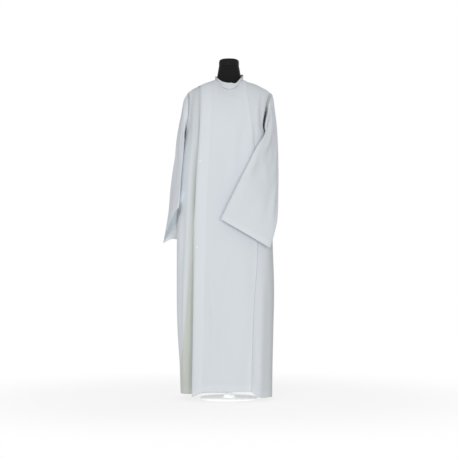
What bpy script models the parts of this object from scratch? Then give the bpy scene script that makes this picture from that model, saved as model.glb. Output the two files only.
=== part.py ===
# Alb on a limbless dress form: a wrap-front robe with a stand collar, a long knife pleat,
# one wide sleeve hanging at the side and the other laid across the front.
# Metres, +Z up, the front faces -Y. The origin is the centre of the stand's underside.

import math

import bpy
import numpy as np

# ---- driving sizes
WALL = 0.0016             # cloth
SEAM = 0.0003             # clear gap between pieces that meet at a seam
FRONT, BACK = -1, 1
FRONT_TURN = 1.20         # height where the chest starts to curve in to the shoulder
BACK_TURN = 1.25
FRONT_DOME = 1.8          # roundness of the chest's curve, 2 is an ellipse
BACK_DOME = 2.0
ARMPIT = 1.165
LOW_SHARE = 0.62          # part of a panel's rows that lie below the turn
NECK_MID = 0.002          # neckline, seen from above
NECK_HALF = 0.061
NECK_FRONT = 0.064
NECK_BACK = 0.055
COLLAR_TALL = 0.029
COLLAR_START = math.radians(-105)   # its inner end, from the middle of the front
COLLAR_LAP = 2            # how many columns its outer end laps over the inner one
COLLAR_DROP = 0.42        # part of its height that it loses at its ends, where it slumps
BUTTON = 0.012
BUTTON_THICK = 0.0024
BUTTON_INSET = 0.0135     # from the wrap edge to a button's middle
BASE_RADIUS = 0.130
BASE_THICK = 0.006
POLE_RADIUS = 0.0125
TORSO_BOTTOM = 0.650
NECK_CAP_BOTTOM = 1.492
NECK_TOP = 1.5265
NECK_CAP_RADIUS = 0.0455
VALLEY_REACH = 0.022      # from the wrap edge back to the evenly spaced columns of the side


class Table:
    # Rows with named columns, keyed by the first one. at() runs smoothly through a column,
    # with no overshoot between its rows.
    def __init__(self, names, *rows):
        self.columns = {name: np.array([row[i] for row in rows], float)
                        for i, name in enumerate(names.split())}
        self.keys = np.array([row[0] for row in rows], float)

    def at(self, name, key):
        keys, values = self.keys, self.columns[name]
        step = np.diff(keys)
        rise = np.diff(values) / step
        slope = np.concatenate(([rise[0]], 0.5 * (rise[:-1] + rise[1:]), [rise[-1]]))
        turning = np.concatenate(([False], rise[:-1] * rise[1:] <= 0, [False]))
        slope[turning] = 0.0
        steepest = 2.5 * np.minimum(np.abs(np.append(rise, rise[-1])), np.abs(np.insert(rise, 0, rise[0])))
        slope = np.clip(slope, -steepest, steepest)
        key = np.clip(key, keys[0], keys[-1])
        i = np.clip(np.searchsorted(keys, key, side="right") - 1, 0, len(step) - 1)
        t = (key - keys[i]) / step[i]
        ease = t * t * (3 - 2 * t)
        return (values[i] * (1 - ease) + values[i + 1] * ease
                + step[i] * (slope[i] * t * (1 - t) ** 2 - slope[i + 1] * t * t * (1 - t)))


# The worn body: where its sides are and how deep it is, from the hem up. "square" is the
# power of its section: 2 is an ellipse, more is boxier.
BODY = Table(
    "z      left    right  front  back   square",
    (0.000, -0.2150, 0.189, 0.172, 0.165, 3.2),
    (0.150, -0.2205, 0.193, 0.170, 0.163, 3.1),
    (0.300, -0.2295, 0.198, 0.168, 0.160, 3.0),
    (0.485, -0.2340, 0.202, 0.164, 0.155, 2.9),
    (0.665, -0.2340, 0.197, 0.158, 0.148, 2.8),
    (0.870, -0.2275, 0.191, 0.152, 0.138, 2.85),
    (1.050, -0.2195, 0.184, 0.146, 0.130, 2.8),
    (1.165, -0.1990, 0.179, 0.141, 0.124, 2.5),
    (1.250, -0.1930, 0.178, 0.134, 0.120, 2.4),
    (1.380, -0.1900, 0.191, 0.128, 0.116, 2.3))

# Height of the shoulder line, outwards from the neck. Inside the neck hole it only guides
# the slope of the panels towards the neckline.
SHOULDER = Table(
    "x      front   back",
    (0.000, 1.4120, 1.4560),
    (0.030, 1.4180, 1.4520),
    (0.060, 1.4330, 1.4330),
    (0.090, 1.4235, 1.4235),
    (0.1125, 1.4155, 1.4155),
    (0.135, 1.4050, 1.4050),
    (0.155, 1.3945, 1.3945),
    (0.170, 1.3860, 1.3860),
    (0.183, 1.3765, 1.3765))

# Where each armhole's seam runs above the armpit, on the front and on the back.
ARMHOLE = Table(
    "z      right_front right_back left_front left_back",
    (1.165, -0.1990, -0.1990, 0.1790, 0.1790),
    (1.172, -0.1984, -0.1955, 0.1720, 0.1775),
    (1.185, -0.1962, -0.1900, 0.1610, 0.1735),
    (1.200, -0.1920, -0.1835, 0.1530, 0.1685),
    (1.220, -0.1880, -0.1780, 0.1495, 0.1635),
    (1.260, -0.1820, -0.1700, 0.1545, 0.1590),
    (1.310, -0.1780, -0.1680, 0.1640, 0.1610),
    (1.345, -0.1770, -0.1710, 0.1725, 0.1690),
    (1.3765, -0.1810, -0.1810, 0.1830, 0.1830))

# Height of the hem along each panel.
HEM = Table(
    "x      left_front right_front back",
    (-0.220, 0.0240, 0.0290, 0.0290),
    (-0.165, 0.0215, 0.0310, 0.0220),
    (-0.140, 0.0300, 0.0330, 0.0200),
    (-0.105, 0.0430, 0.0400, 0.0180),
    (0.095, 0.0440, 0.0400, 0.0200),
    (0.125, 0.0240, 0.0300, 0.0180),
    (0.150, 0.0160, 0.0200, 0.0170),
    (0.190, 0.0170, 0.0200, 0.0170))

# The wrap edge of the left front, and its knife pleat: where the fold's edge is, how far
# the cloth goes back under it, and the radius of its two turns.
WRAP = Table(
    "z      edge    pleat  under  turn",
    (0.000, -0.1640, 0.0960, 0.026, 0.0024),
    (0.250, -0.1590, 0.1030, 0.027, 0.0024),
    (0.450, -0.1560, 0.1110, 0.027, 0.0024),
    (0.620, -0.1530, 0.1240, 0.027, 0.0024),
    (0.850, -0.1490, 0.1260, 0.025, 0.0023),
    (1.050, -0.1390, 0.1170, 0.021, 0.0021),
    (1.200, -0.1300, 0.1040, 0.016, 0.0018),
    (1.300, -0.1270, 0.0900, 0.011, 0.0014),
    (1.380, -0.1275, 0.0800, 0.007, 0.0011),
    (1.430, -0.1280, 0.0760, 0.005, 0.0010))

# The valley in the right front beside the wrap edge, and how deep that front lies under
# the left one.
VALLEY = Table(
    "z      middle  half   deep   under",
    (0.000, -0.1600, 0.062, 0.078, 0.016),
    (0.150, -0.1610, 0.060, 0.072, 0.016),
    (0.300, -0.1610, 0.052, 0.062, 0.015),
    (0.485, -0.1590, 0.044, 0.050, 0.014),
    (0.665, -0.1610, 0.034, 0.036, 0.012),
    (0.870, -0.1560, 0.026, 0.026, 0.010),
    (1.050, -0.1490, 0.022, 0.018, 0.0080),
    (1.200, -0.1430, 0.019, 0.011, 0.0055),
    (1.300, -0.1395, 0.016, 0.006, 0.0038),
    (1.380, -0.1370, 0.015, 0.003, 0.0026),
    (1.430, -0.1360, 0.015, 0.001, 0.0024))

# Long soft folds that stand out from the back and the side: middle and half width as an
# angle from -1, one side seam, to 1, the other; height of the crest at the hem and where
# the fold dies out.
FOLDS = Table(
    "number face  middle half  crest  top",
    (0, BACK, -0.62, 0.24, 0.016, 1.16),
    (1, BACK, -0.17, 0.17, -0.020, 1.28),
    (2, BACK, 0.17, 0.17, -0.019, 1.30),
    (3, BACK, 0.63, 0.23, 0.015, 1.12),
    (4, FRONT, 0.72, 0.22, 0.012, 1.05))

# The sleeves, from the armhole (0) to the cuff (1): the two edges along which each lies
# folded, fore and aft, and how far its over-arm and under-arm layers bulge from the middle
# between them.
SLEEVE_COLUMNS = (
    "share fore_x fore_y fore_z aft_x aft_y aft_z over_x over_y over_z under_x under_y under_z square")
LEFT_SLEEVE = Table(
    SLEEVE_COLUMNS,
    (0.00, 0.1520, -0.072, 1.212, 0.1650, 0.060, 1.310, 0.014, -0.032, 0.090, 0.014, 0.034, -0.084, 2.1),
    (0.04, 0.1575, -0.078, 1.208, 0.1800, 0.061, 1.300, 0.015, -0.028, 0.086, 0.020, 0.031, -0.086, 2.1),
    (0.10, 0.1610, -0.087, 1.200, 0.1950, 0.052, 1.270, 0.015, -0.022, 0.071, 0.014, 0.031, -0.084, 2.1),
    (0.16, 0.1600, -0.096, 1.189, 0.2100, 0.028, 1.225, 0.012, -0.018, 0.049, 0.012, 0.037, -0.073, 2.0),
    (0.26, 0.1535, -0.112, 1.166, 0.2185, -0.012, 1.150, 0.006, -0.016, 0.022, 0.007, 0.023, -0.048, 2.0),
    (0.40, 0.1210, -0.143, 1.115, 0.2205, -0.052, 1.045, 0.001, -0.017, 0.008, 0.002, 0.016, -0.018, 2.0),
    (0.58, 0.0740, -0.170, 1.020, 0.2190, -0.084, 0.925, 0.000, -0.016, 0.000, 0.002, 0.006, -0.004, 2.0),
    (0.79, 0.0220, -0.183, 0.915, 0.2130, -0.126, 0.800, 0.000, -0.015, 0.000, 0.000, 0.005, 0.000, 2.0),
    (0.90, -0.0070, -0.185, 0.857, 0.1990, -0.144, 0.737, 0.000, -0.014, 0.000, 0.000, 0.006, 0.000, 2.0),
    (1.00, -0.0350, -0.186, 0.797, 0.1800, -0.156, 0.673, 0.000, -0.014, 0.000, 0.000, 0.006, 0.000, 2.0))
RIGHT_SLEEVE = Table(
    SLEEVE_COLUMNS,
    (0.00, -0.1800, -0.070, 1.270, -0.1700, 0.070, 1.270, 0.000, 0.000, 0.105, 0.000, 0.000, -0.105, 2.2),
    (0.08, -0.1925, -0.074, 1.235, -0.1900, 0.075, 1.240, -0.012, 0.000, 0.095, -0.017, 0.000, -0.084, 2.2),
    (0.16, -0.1965, -0.080, 1.195, -0.2070, 0.080, 1.205, -0.016, 0.000, 0.062, -0.011, 0.000, -0.062, 2.1),
    (0.28, -0.1995, -0.089, 1.135, -0.2260, 0.088, 1.140, -0.018, 0.000, 0.028, -0.005, 0.000, -0.032, 2.0),
    (0.42, -0.2050, -0.098, 1.060, -0.2430, 0.095, 1.060, -0.014, 0.000, 0.012, -0.008, 0.002, -0.012, 1.9),
    (0.60, -0.2120, -0.107, 0.980, -0.2610, 0.098, 0.950, -0.011, 0.000, 0.000, -0.003, 0.014, -0.012, 1.6),
    (0.80, -0.2170, -0.116, 0.912, -0.2740, 0.086, 0.830, -0.010, -0.006, 0.000, 0.002, 0.045, -0.028, 1.2),
    (1.00, -0.2228, -0.122, 0.850, -0.2960, 0.062, 0.697, -0.009, -0.010, 0.004, 0.013, 0.096, -0.060, 1.0))
LEFT_TWIST = 0.18         # where round the armhole, from the armpit up its front, the fore
RIGHT_TWIST = 0.25        # edge starts

# The dress form's sections, from its bottom to its neck.
TORSO = Table(
    "z      half   front  back   square",
    (0.650, 0.1300, 0.085, 0.085, 2.4),
    (0.662, 0.1450, 0.097, 0.097, 2.4),
    (0.700, 0.1560, 0.106, 0.106, 2.4),
    (0.780, 0.1620, 0.110, 0.112, 2.4),
    (0.880, 0.1450, 0.104, 0.104, 2.4),
    (0.980, 0.1230, 0.096, 0.092, 2.3),
    (1.060, 0.1300, 0.104, 0.092, 2.3),
    (1.150, 0.1450, 0.110, 0.096, 2.3),
    (1.240, 0.1500, 0.104, 0.096, 2.3),
    (1.320, 0.1520, 0.082, 0.090, 2.3),
    (1.360, 0.1500, 0.062, 0.076, 2.3),
    (1.382, 0.1400, 0.050, 0.062, 2.2),
    (1.398, 0.1130, 0.040, 0.050, 2.0),
    (1.411, 0.0780, 0.038, 0.047, 2.0),
    (1.424, 0.0570, 0.041, 0.046, 2.0),
    (1.444, 0.0545, 0.044, 0.046, 2.0),
    (1.470, 0.0500, 0.047, 0.046, 2.0),
    (1.4917, 0.0462, 0.047, 0.045, 2.0))

COLOURS = {
    "cloth": ((0.66, 0.69, 0.74), 0.62, 0.0),
    "form": ((0.018, 0.018, 0.018), 0.75, 0.0),
    "enamel": ((0.80, 0.81, 0.82), 0.40, 0.0),
    "button": ((0.78, 0.79, 0.80), 0.30, 0.0),
}


def smooth(low, high, value):
    t = np.clip((value - low) / (high - low), 0.0, 1.0)
    return t * t * (3 - 2 * t)


# ---- the worn body's surface
def section(z):
    left, right = BODY.at("left", z), BODY.at("right", z)
    return 0.5 * (left + right), 0.5 * (right - left), BODY.at("square", z)


def angle_of(x, z):
    middle, half, square = section(z)
    off = np.clip((x - middle) / half, -1.0, 1.0)
    return np.sign(off) * 2 / math.pi * np.arcsin(np.abs(off) ** (square / 2))


def place_of(angle, z):
    middle, half, square = section(z)
    return middle + half * np.sign(angle) * np.abs(np.sin(0.5 * math.pi * angle)) ** (2 / square)


def seam_angle(face, z):
    # The angle of a side seam, short of the side by half the seam's gap.
    deep = BODY.at("front" if face == FRONT else "back", z)
    return 2 / math.pi * np.arccos((SEAM / deep) ** (section(z)[2] / 2))


def dome(face):
    if face == FRONT:
        return "front", FRONT_TURN, FRONT_DOME, NECK_FRONT
    return "back", BACK_TURN, BACK_DOME, NECK_BACK


def dome_top(face, x):
    # How far round its dome a column reaches: to the shoulder seam, or to the neckline.
    side, turn, power, neck = dome(face)
    off = np.clip(np.abs(x - NECK_MID) / NECK_HALF, 0.0, 1.0)
    edge = np.maximum(neck * np.sqrt(1 - off * off), SEAM)
    top = SHOULDER.at(side, np.abs(x))
    across = np.abs(np.cos(0.5 * math.pi * angle_of(x, top))) ** (2 / section(top)[2])
    return np.arccos(np.clip(edge / (BODY.at(side, turn) * across), 0.0, 1.0) ** (power / 2))


def reach_up(face, x, share):
    # A row's share of the height as its share of the way up to the turn, and above the turn
    # as the angle it has climbed round the dome.
    low = np.minimum(share / LOW_SHARE, 1.0)
    climb = np.clip((share - LOW_SHARE) / (1 - LOW_SHARE), 0.0, 1.0) * dome_top(face, x)
    return low, climb


def level(face, hem, x, low, climb):
    side, turn, power, _ = dome(face)
    bottom = HEM.at(hem, x)
    raised = (SHOULDER.at(side, np.abs(x)) - turn) * np.sin(climb) ** (2 / power)
    return bottom + (turn - bottom) * low + raised


def height(face, hem, x, share):
    return level(face, hem, x, *reach_up(face, x, share))


def shape(face, hem, angle, low, climb):
    # The body's surface at an angle round it and a place up its column.
    side, turn, power, _ = dome(face)
    z = np.full_like(angle, turn)
    for _ in range(4):
        x = place_of(angle, z)
        z = level(face, hem, x, low, climb)
    deep = BODY.at(side, np.minimum(z, turn)) * np.cos(climb) ** (2 / power)
    y = face * deep * np.abs(np.cos(0.5 * math.pi * angle)) ** (2 / section(z)[2])
    return np.stack([x, y, z], axis=-1)


def body_point(face, hem, angle, share):
    low, climb = reach_up(face, place_of(angle, dome(face)[1]), share)
    for _ in range(3):
        x = shape(face, hem, angle, low, climb)[..., 0]
        low, climb = reach_up(face, x, share)
    return shape(face, hem, angle, low, climb)


def inward(face, hem, angle, share):
    # The unit direction into the cloth, towards the form.
    step = 1e-4
    low, climb = reach_up(face, body_point(face, hem, angle, share)[..., 0], share)
    across = (shape(face, hem, np.minimum(angle + step, 0.9999), low, climb)
              - shape(face, hem, np.maximum(angle - step, -0.9999), low, climb))
    domed = share >= LOW_SHARE
    up = (shape(face, hem, angle, low, climb + step * domed)
          - shape(face, hem, angle, low - step * ~domed, np.maximum(climb - step * domed, 0.0)))
    normal = np.cross(across, up) * face
    return normal / np.linalg.norm(normal, axis=-1, keepdims=True)


def folds(face, angle, z):
    # Depth of the long soft folds, inwards, fading towards their tops.
    depth = np.zeros_like(angle)
    columns = FOLDS.columns
    for i in range(len(FOLDS.keys)):
        if columns["face"][i] != face:
            continue
        off = np.clip(np.abs(angle - columns["middle"][i]) / columns["half"][i], 0.0, 1.0)
        fade = np.clip(1 - z / columns["top"][i], 0.0, 1.0) ** 0.8
        depth -= columns["crest"][i] * fade * (0.5 + 0.5 * np.cos(math.pi * off))
    return depth


def on_body(face, hem, angle, share, depth):
    return body_point(face, hem, angle, share) + depth[..., None] * inward(face, hem, angle, share)


def settle(face, hem, share, line):
    # Where a line x = line(z) crosses the row at this share of the height.
    z = height(face, hem, 0.0, share)
    for _ in range(5):
        x = line(z)
        z = height(face, hem, x, share)
    return x, z


def panel_end(face, column, hem, share):
    # The panel's end on this row: the side seam below the armpit, the armhole above.
    side = 1 if column.startswith("left") else -1
    x, z = settle(face, hem, share, lambda z_now: ARMHOLE.at(column, z_now))
    seam = seam_angle(face, z)
    return side * np.where(z < ARMPIT + 0.001, seam, np.minimum(seam, side * angle_of(x, z)))


def spread(start, end, count, ends=0.0):
    # Even steps from start to end, without the end; "ends" crowds them towards both ends.
    t = np.arange(count) / count
    t = (1 - ends) * t + ends * (0.5 - 0.5 * np.cos(math.pi * t))
    return start + (end - start) * t


def armpit_share(face):
    # The row that passes the armpit, at the side seams.
    low = HEM.at("back", BODY.at("right", 0.0))
    return LOW_SHARE * (ARMPIT - low) / (dome(face)[1] - low)


def row_shares(face, low_rows, arm_rows, high_rows):
    armpit = armpit_share(face)
    return np.concatenate([
        spread(0.0, armpit, low_rows), spread(armpit, LOW_SHARE, arm_rows),
        spread(LOW_SHARE, 1.0, high_rows), [1.0]])


def neck_lines(share):
    # The two ends of the neckline run down the panels as straight grid lines.
    crowd = smooth(LOW_SHARE, 1.0, share)
    return NECK_MID - NECK_HALF, NECK_MID + NECK_HALF, crowd


def pleat_path(share, counts):
    # Across the left front: positions along it and depths below its surface, from the wrap
    # edge over the knife pleat to where the cloth lies flat again.
    face, hem = FRONT, "left_front"
    edge = settle(face, hem, share, lambda z: WRAP.at("edge", z))[0]
    fold, z = settle(face, hem, share, lambda z: WRAP.at("pleat", z))
    under, turn = WRAP.at("under", z), WRAP.at("turn", z)
    neck_left, neck_right, crowd = neck_lines(share)
    flat = np.concatenate([
        spread(edge, neck_left, counts["lap"]),
        spread(neck_left, neck_right, counts["neck"], crowd),
        spread(neck_right, fold - turn, counts["chest"])])
    round_one = math.pi * (np.arange(counts["turn"] + 1) / counts["turn"] - 0.5)
    outer = fold - turn + turn * np.cos(round_one)
    outer_deep = turn + turn * np.sin(round_one)
    inner = fold - under + turn - turn * np.cos(round_one)
    inner_deep = 3 * turn + turn * np.sin(round_one)
    hidden = spread(outer[-1], inner[0], counts["under"] + 1)[1:]
    places = np.concatenate([flat, outer, hidden, inner])
    depths = np.concatenate([0 * flat, outer_deep, 0 * hidden + 2 * turn, inner_deep])
    return places, depths


LEFT_FRONT_COUNTS = {"lap": 4, "neck": 12, "chest": 3, "turn": 3, "under": 2, "flute": 8}


def left_front_grid(shares, counts):
    face, hem = FRONT, "left_front"
    rows = []
    for share in shares:
        places, depths = pleat_path(share, counts)
        z = height(face, hem, places, share)
        angles = angle_of(places, z)
        end = panel_end(face, "left_front", hem, share)
        flute = np.append(spread(angles[-1], end, counts["flute"])[1:], end)
        reach = 1.0 - 0.6 * smooth(LOW_SHARE, 1.0, share)
        ease = smooth(0.0, reach, (flute - angles[-1]) / (end - angles[-1]))
        depths = np.concatenate([depths, depths[-1] * (1 - ease)])
        angles = np.concatenate([angles, flute])
        level = height(face, hem, place_of(angles, height(face, hem, places[-1], share)), share)
        swell = smooth(0.0, 0.6, (angles - flute[0]) / (end - flute[0]))
        depths = depths + folds(face, angles, level) * swell
        rows.append(on_body(face, hem, angles, np.full_like(angles, share), depths))
    return np.array(rows)


RIGHT_FRONT_COUNTS = {"side": 9, "valley": 4, "lap": 4, "neck": 12, "past": 8}


def right_front_depth(x, z):
    edge = WRAP.at("edge", z)
    beside = np.clip(np.abs(x - VALLEY.at("middle", z)) / VALLEY.at("half", z), 0.0, 1.0)
    valley = VALLEY.at("deep", z) * (0.5 + 0.5 * np.cos(math.pi * beside))
    under = VALLEY.at("under", z) * smooth(edge - 0.026, edge - 0.006, x)
    return np.sqrt(valley * valley + under * under)


def right_front_grid(shares, counts):
    face, hem = FRONT, "right_front"
    rows = []
    for share in shares:
        edge, z = settle(face, hem, share, lambda z: WRAP.at("edge", z))
        end = panel_end(face, "right_front", hem, share)
        beside = edge - VALLEY_REACH
        first = angle_of(beside, z)
        neck_left, neck_right, crowd = neck_lines(share)
        places = np.concatenate([
            spread(beside, edge, counts["valley"]), spread(edge, neck_left, counts["lap"]),
            spread(neck_left, neck_right, counts["neck"], crowd)[:counts["past"]]])
        levels = height(face, hem, places, share)
        angles = np.concatenate([spread(end, first, counts["side"]), angle_of(places, levels)])
        z_here = height(face, hem, place_of(angles, z), share)
        depths = right_front_depth(place_of(angles, z_here), z_here)
        off_end = smooth(0.0, 0.12, angles - end)
        rows.append(on_body(face, hem, angles, np.full_like(angles, share), depths * off_end))
    return rows


BACK_COUNTS = {"side": 8, "neck": 12}


def shoulder_dip(x, share):
    # The back's top edge goes down with the pleat where both are sewn into the shoulder.
    z = SHOULDER.at("back", x)
    fold, turn = WRAP.at("pleat", z), WRAP.at("turn", z)
    past = smooth(fold + 0.003, fold + 0.045, x)
    return 4 * turn * smooth(fold - 0.016, fold, x) * (1 - past) * smooth(0.90, 1.0, share)


def back_grid(shares, counts):
    face, hem = BACK, "back"
    rows = []
    for share in shares:
        first = panel_end(face, "right_back", hem, share)
        last = panel_end(face, "left_back", hem, share)
        neck_left, neck_right, crowd = neck_lines(share)
        neck = np.append(spread(neck_left, neck_right, counts["neck"], crowd), neck_right)
        middle = angle_of(neck, height(face, hem, neck, share))
        angles = np.concatenate([
            spread(first, middle[0], counts["side"]), middle,
            spread(last, middle[-1], counts["side"])[::-1]])
        levels = height(face, hem, place_of(angles, height(face, hem, 0.0, share)), share)
        depths = folds(face, angles, levels) + shoulder_dip(place_of(angles, levels), share)
        rows.append(on_body(face, hem, angles, np.full_like(angles, share), depths))
    return np.array(rows)


# ---- sleeves
def armhole_loop(side, front_rows, back_rows):
    # The armhole's seam as one closed curve, through the panels' own rows: up its front from
    # the armpit to the shoulder, then down its back.
    halves = []
    faces = ((FRONT, "_front", side + "_front", front_rows), (BACK, "_back", "back", back_rows))
    for face, name, hem, rows in faces:
        shares = rows[rows > armpit_share(face) - 1e-6]
        halves.append(body_point(face, hem, panel_end(face, side + name, hem, shares), shares))
    return np.concatenate([halves[0][:-1], halves[1][:0:-1]])


HEAD_SHARE = 0.30         # part of the sleeve over which the armhole's shape fades out
HEAD_OUT = 0.16           # the same across the body: the cloth leaves the seam outwards
HEAD_GAP = 0.0013         # from the body's edge to the sleeve's, along X
HEAD_IN = 0.0010          # and towards the middle of the armhole
HEAD_ROWS = (0.0, 0.0455, 0.091, 0.1365)   # the sleeve's first rows, close together


def sleeve_ring(table, share, turn):
    # One ring of the tube; turn is 0 on its fore edge and half a round on its aft edge.
    fore, aft, over, under = [
        np.array([table.at(name + "_" + axis, share) for axis in "xyz"])
        for name in ("fore", "aft", "over", "under")]
    square = table.at("square", share)
    power = 2 / np.maximum(square, 2.0)
    reach = -np.sign(np.cos(turn)) * np.abs(np.cos(turn)) ** power
    bulge = np.abs(np.sin(turn)) ** power
    straight = np.clip(2.0 - square, 0.0, 1.0) * (1 - smooth(1.75, 1.98, turn / math.pi))
    straight = np.where(turn < math.pi, 0.0, straight)
    along = 3 - 2 * turn / math.pi
    reach = reach * (1 - straight) + straight * along
    bulge = bulge * (1 - straight) + straight * (1 - np.abs(along))
    side = np.where((turn < math.pi)[:, None], over, under)
    return 0.5 * (fore + aft) + 0.5 * reach[:, None] * (aft - fore) + bulge[:, None] * side


def head_fold(deep, share, turn):
    # Behind the front of the seam a sleeve's head drops into a valley, and beyond it stands
    # forward in the fold that hangs from the shoulder.
    valley = smooth(0.0, 0.022, share) * (1 - smooth(0.022, 0.065, share))
    ridge = smooth(0.022, 0.070, share) * (1 - smooth(0.070, 0.170, share))
    around = (turn / (2 * math.pi) + 0.25) % 1.0
    window = smooth(0.22, 0.32, around) * (1 - smooth(0.40, 0.54, around))
    return deep * (valley - 0.4 * ridge) * window


def sleeve_grid(side, table, twist, loop, rows, deep):
    # Each column starts at one point of the armhole, moved out across the seam's gap.
    gaps = np.linalg.norm(loop - np.roll(loop, 1, axis=0), axis=1)
    gaps[0] = 0.0
    closing = np.linalg.norm(loop[0] - loop[-1])
    around = np.cumsum(gaps) / (gaps.sum() + closing)
    turn = 2 * math.pi * ((around - twist) % 1.0)
    inwards = loop.mean(axis=0) - loop
    inwards[:, 0] = 0.0
    inwards /= np.linalg.norm(inwards, axis=1, keepdims=True)
    out = np.array([HEAD_GAP if side == "left" else -HEAD_GAP, 0.0, 0.0])
    seam = loop + out + HEAD_IN * inwards - sleeve_ring(table, 0.0, turn)
    fades = np.array([HEAD_OUT, HEAD_SHARE, HEAD_SHARE])
    back = np.array([0.0, 1.0, 0.0])
    shares = np.concatenate([HEAD_ROWS, np.linspace(HEAD_ROWS[-1], 1.0, rows)[1:]])
    return np.array([sleeve_ring(table, share, turn) + seam * (1 - smooth(0.0, fades, share))
                     + head_fold(deep, share, turn)[:, None] * back for share in shares])


# ---- collar
def neckline(turn):
    # A point of the neckline seam; turn is 0 at the front and grows towards +X.
    x = NECK_MID + NECK_HALF * np.sin(turn)
    front = np.cos(turn) > 0
    neck = np.where(front, NECK_FRONT, NECK_BACK)
    y = -np.cos(turn) * neck
    z = np.where(front, height(FRONT, "left_front", x, np.ones_like(x)),
                 height(BACK, "back", x, np.ones_like(x)))
    return np.stack([x, y, z], axis=-1)


def collar_grid(rows, steps):
    # Its columns stand on the panels' own neckline columns, "steps" to each half.
    turn = math.pi * (np.arange(2 * steps + COLLAR_LAP + 1) / steps) + COLLAR_START
    base = neckline(turn)
    over = smooth(2 * math.pi - 0.25, 2 * math.pi + 0.02, turn - COLLAR_START) * (WALL + 0.0012)
    radial = np.stack([np.sin(turn), -np.cos(turn), 0 * turn], axis=-1)
    slump = smooth(0.35, 1.0, -np.sin(turn))
    up = np.array([0.0, 0.0, 1.0])
    rows_out = []
    for share in np.linspace(0.0, 1.0, rows):
        rise = WALL * 0.5 + 0.0013 + share * COLLAR_TALL * (1 - COLLAR_DROP * slump)
        lean = -0.0035 * share * np.cos(turn) ** 2 + 0.0012 * share
        shift = np.array([0.0030, 0.0, 0.0]) * share * smooth(0.2, -0.9, np.cos(turn))[:, None]
        rows_out.append(base + radial * (lean + over)[:, None] + shift + rise[:, None] * up)
    return np.array(rows_out)


# ---- making objects
def material(name):
    colour, roughness, metallic = COLOURS[name]
    made = bpy.data.materials.new(name)
    made.use_nodes = True
    shader = made.node_tree.nodes["Principled BSDF"]
    shader.inputs["Base Color"].default_value = (*colour, 1.0)
    shader.inputs["Roughness"].default_value = roughness
    shader.inputs["Metallic"].default_value = metallic
    return made


def finish(thing, look, collection):
    for owner in list(thing.users_collection):
        owner.objects.unlink(thing)
    collection.objects.link(thing)
    thing.data.materials.clear()
    thing.data.materials.append(material(look))
    thing.data.materials[0].name = thing.name + "_" + look
    thing.data.shade_smooth()
    thing.data.set_sharp_from_angle(angle=math.radians(50))
    return thing


def mesh_object(name, points, faces, look, collection):
    mesh = bpy.data.meshes.new(name)
    mesh.from_pydata([tuple(point) for point in points], [], faces)
    mesh.validate()
    thing = bpy.data.objects.new(name, mesh)
    bpy.context.scene.collection.objects.link(thing)
    return finish(thing, look, collection)


def cloth(name, grid, collection, closed=False, flip=False):
    # A grid of points as one sheet of cloth with its wall, half to each side.
    points, faces, starts = [], [], []
    for row in grid:
        starts.append(len(points))
        points.extend(row)
    for i in range(len(grid) - 1):
        count = len(grid[i])
        for j in range(count if closed else count - 1):
            k = (j + 1) % count
            face = [starts[i] + j, starts[i] + k, starts[i + 1] + k, starts[i + 1] + j]
            faces.append(face[::-1] if flip else face)
    thing = mesh_object(name, points, faces, "cloth", collection)
    wall = thing.modifiers.new("wall", "SOLIDIFY")
    wall.thickness = WALL
    wall.offset = 0.0
    wall.use_even_offset = True
    return thing


def section_ring(z, half, front, back, square, columns):
    turn = 2 * math.pi * np.arange(columns) / columns
    x = half * np.sign(np.sin(turn)) * np.abs(np.sin(turn)) ** (2 / square)
    deep = np.where(np.cos(turn) > 0, front, back)
    y = -deep * np.sign(np.cos(turn)) * np.abs(np.cos(turn)) ** (2 / square)
    return np.stack([x, y, np.full_like(x, z)], axis=-1)


def make_torso(collection, columns=32):
    # Lofted by hand through unlike sections, closed flat at both ends.
    rings = []
    for z in TORSO.keys:
        row = [TORSO.at(name, z) for name in ("half", "front", "back", "square")]
        rings.append(section_ring(z, *row, columns))
    points = np.concatenate(rings)
    faces = []
    for i in range(len(rings) - 1):
        for j in range(columns):
            k = (j + 1) % columns
            faces.append([i * columns + j, i * columns + k, (i + 1) * columns + k, (i + 1) * columns + j])
    faces.append(list(range(columns))[::-1])
    faces.append([(len(rings) - 1) * columns + j for j in range(columns)])
    return mesh_object("form_torso", points, faces, "form", collection)


def turned(name, profile, look, collection, steps):
    # A closed profile of radius and height, run down its outer side, swept round the Z axis.
    mesh = bpy.data.meshes.new(name)
    points = [(radius, 0.0, z) for radius, z in profile]
    mesh.from_pydata(points, [(i, i + 1) for i in range(len(points) - 1)], [])
    thing = bpy.data.objects.new(name, mesh)
    bpy.context.scene.collection.objects.link(thing)
    sweep = thing.modifiers.new("sweep", "SCREW")
    sweep.steps = steps
    sweep.render_steps = steps
    sweep.use_merge_vertices = True
    sweep.merge_threshold = 0.0001
    return finish(thing, look, collection)


def make_stand(collection):
    edge = 0.002
    top = BASE_THICK
    turned("stand_base", [(0.0, top), (BASE_RADIUS - edge, top), (BASE_RADIUS, top - edge),
                          (BASE_RADIUS, edge * 0.4), (BASE_RADIUS - edge * 0.4, 0.0), (0.0, 0.0)],
           "enamel", collection, steps=48)
    low, high = BASE_THICK + SEAM, TORSO_BOTTOM - SEAM
    foot_top, foot_edge = low + 0.020, low + 0.014
    turned("stand_pole", [(0.0, high), (POLE_RADIUS, high), (POLE_RADIUS, foot_top),
                          (POLE_RADIUS * 1.8, foot_edge), (POLE_RADIUS * 2.0, low), (0.0, low)],
           "enamel", collection, steps=20)
    corner, bottom, rim = 0.014, NECK_CAP_BOTTOM, NECK_CAP_RADIUS
    arc = [math.radians(90 - 15 * i) for i in range(7)]
    profile = [(0.0, NECK_TOP)]
    inside, below = rim - corner, NECK_TOP - corner
    profile += [(inside + corner * math.cos(a), below + corner * math.sin(a)) for a in arc]
    profile += [(rim, bottom), (0.0, bottom)]
    turned("form_neck_cap", profile, "form", collection, steps=32)


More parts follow.
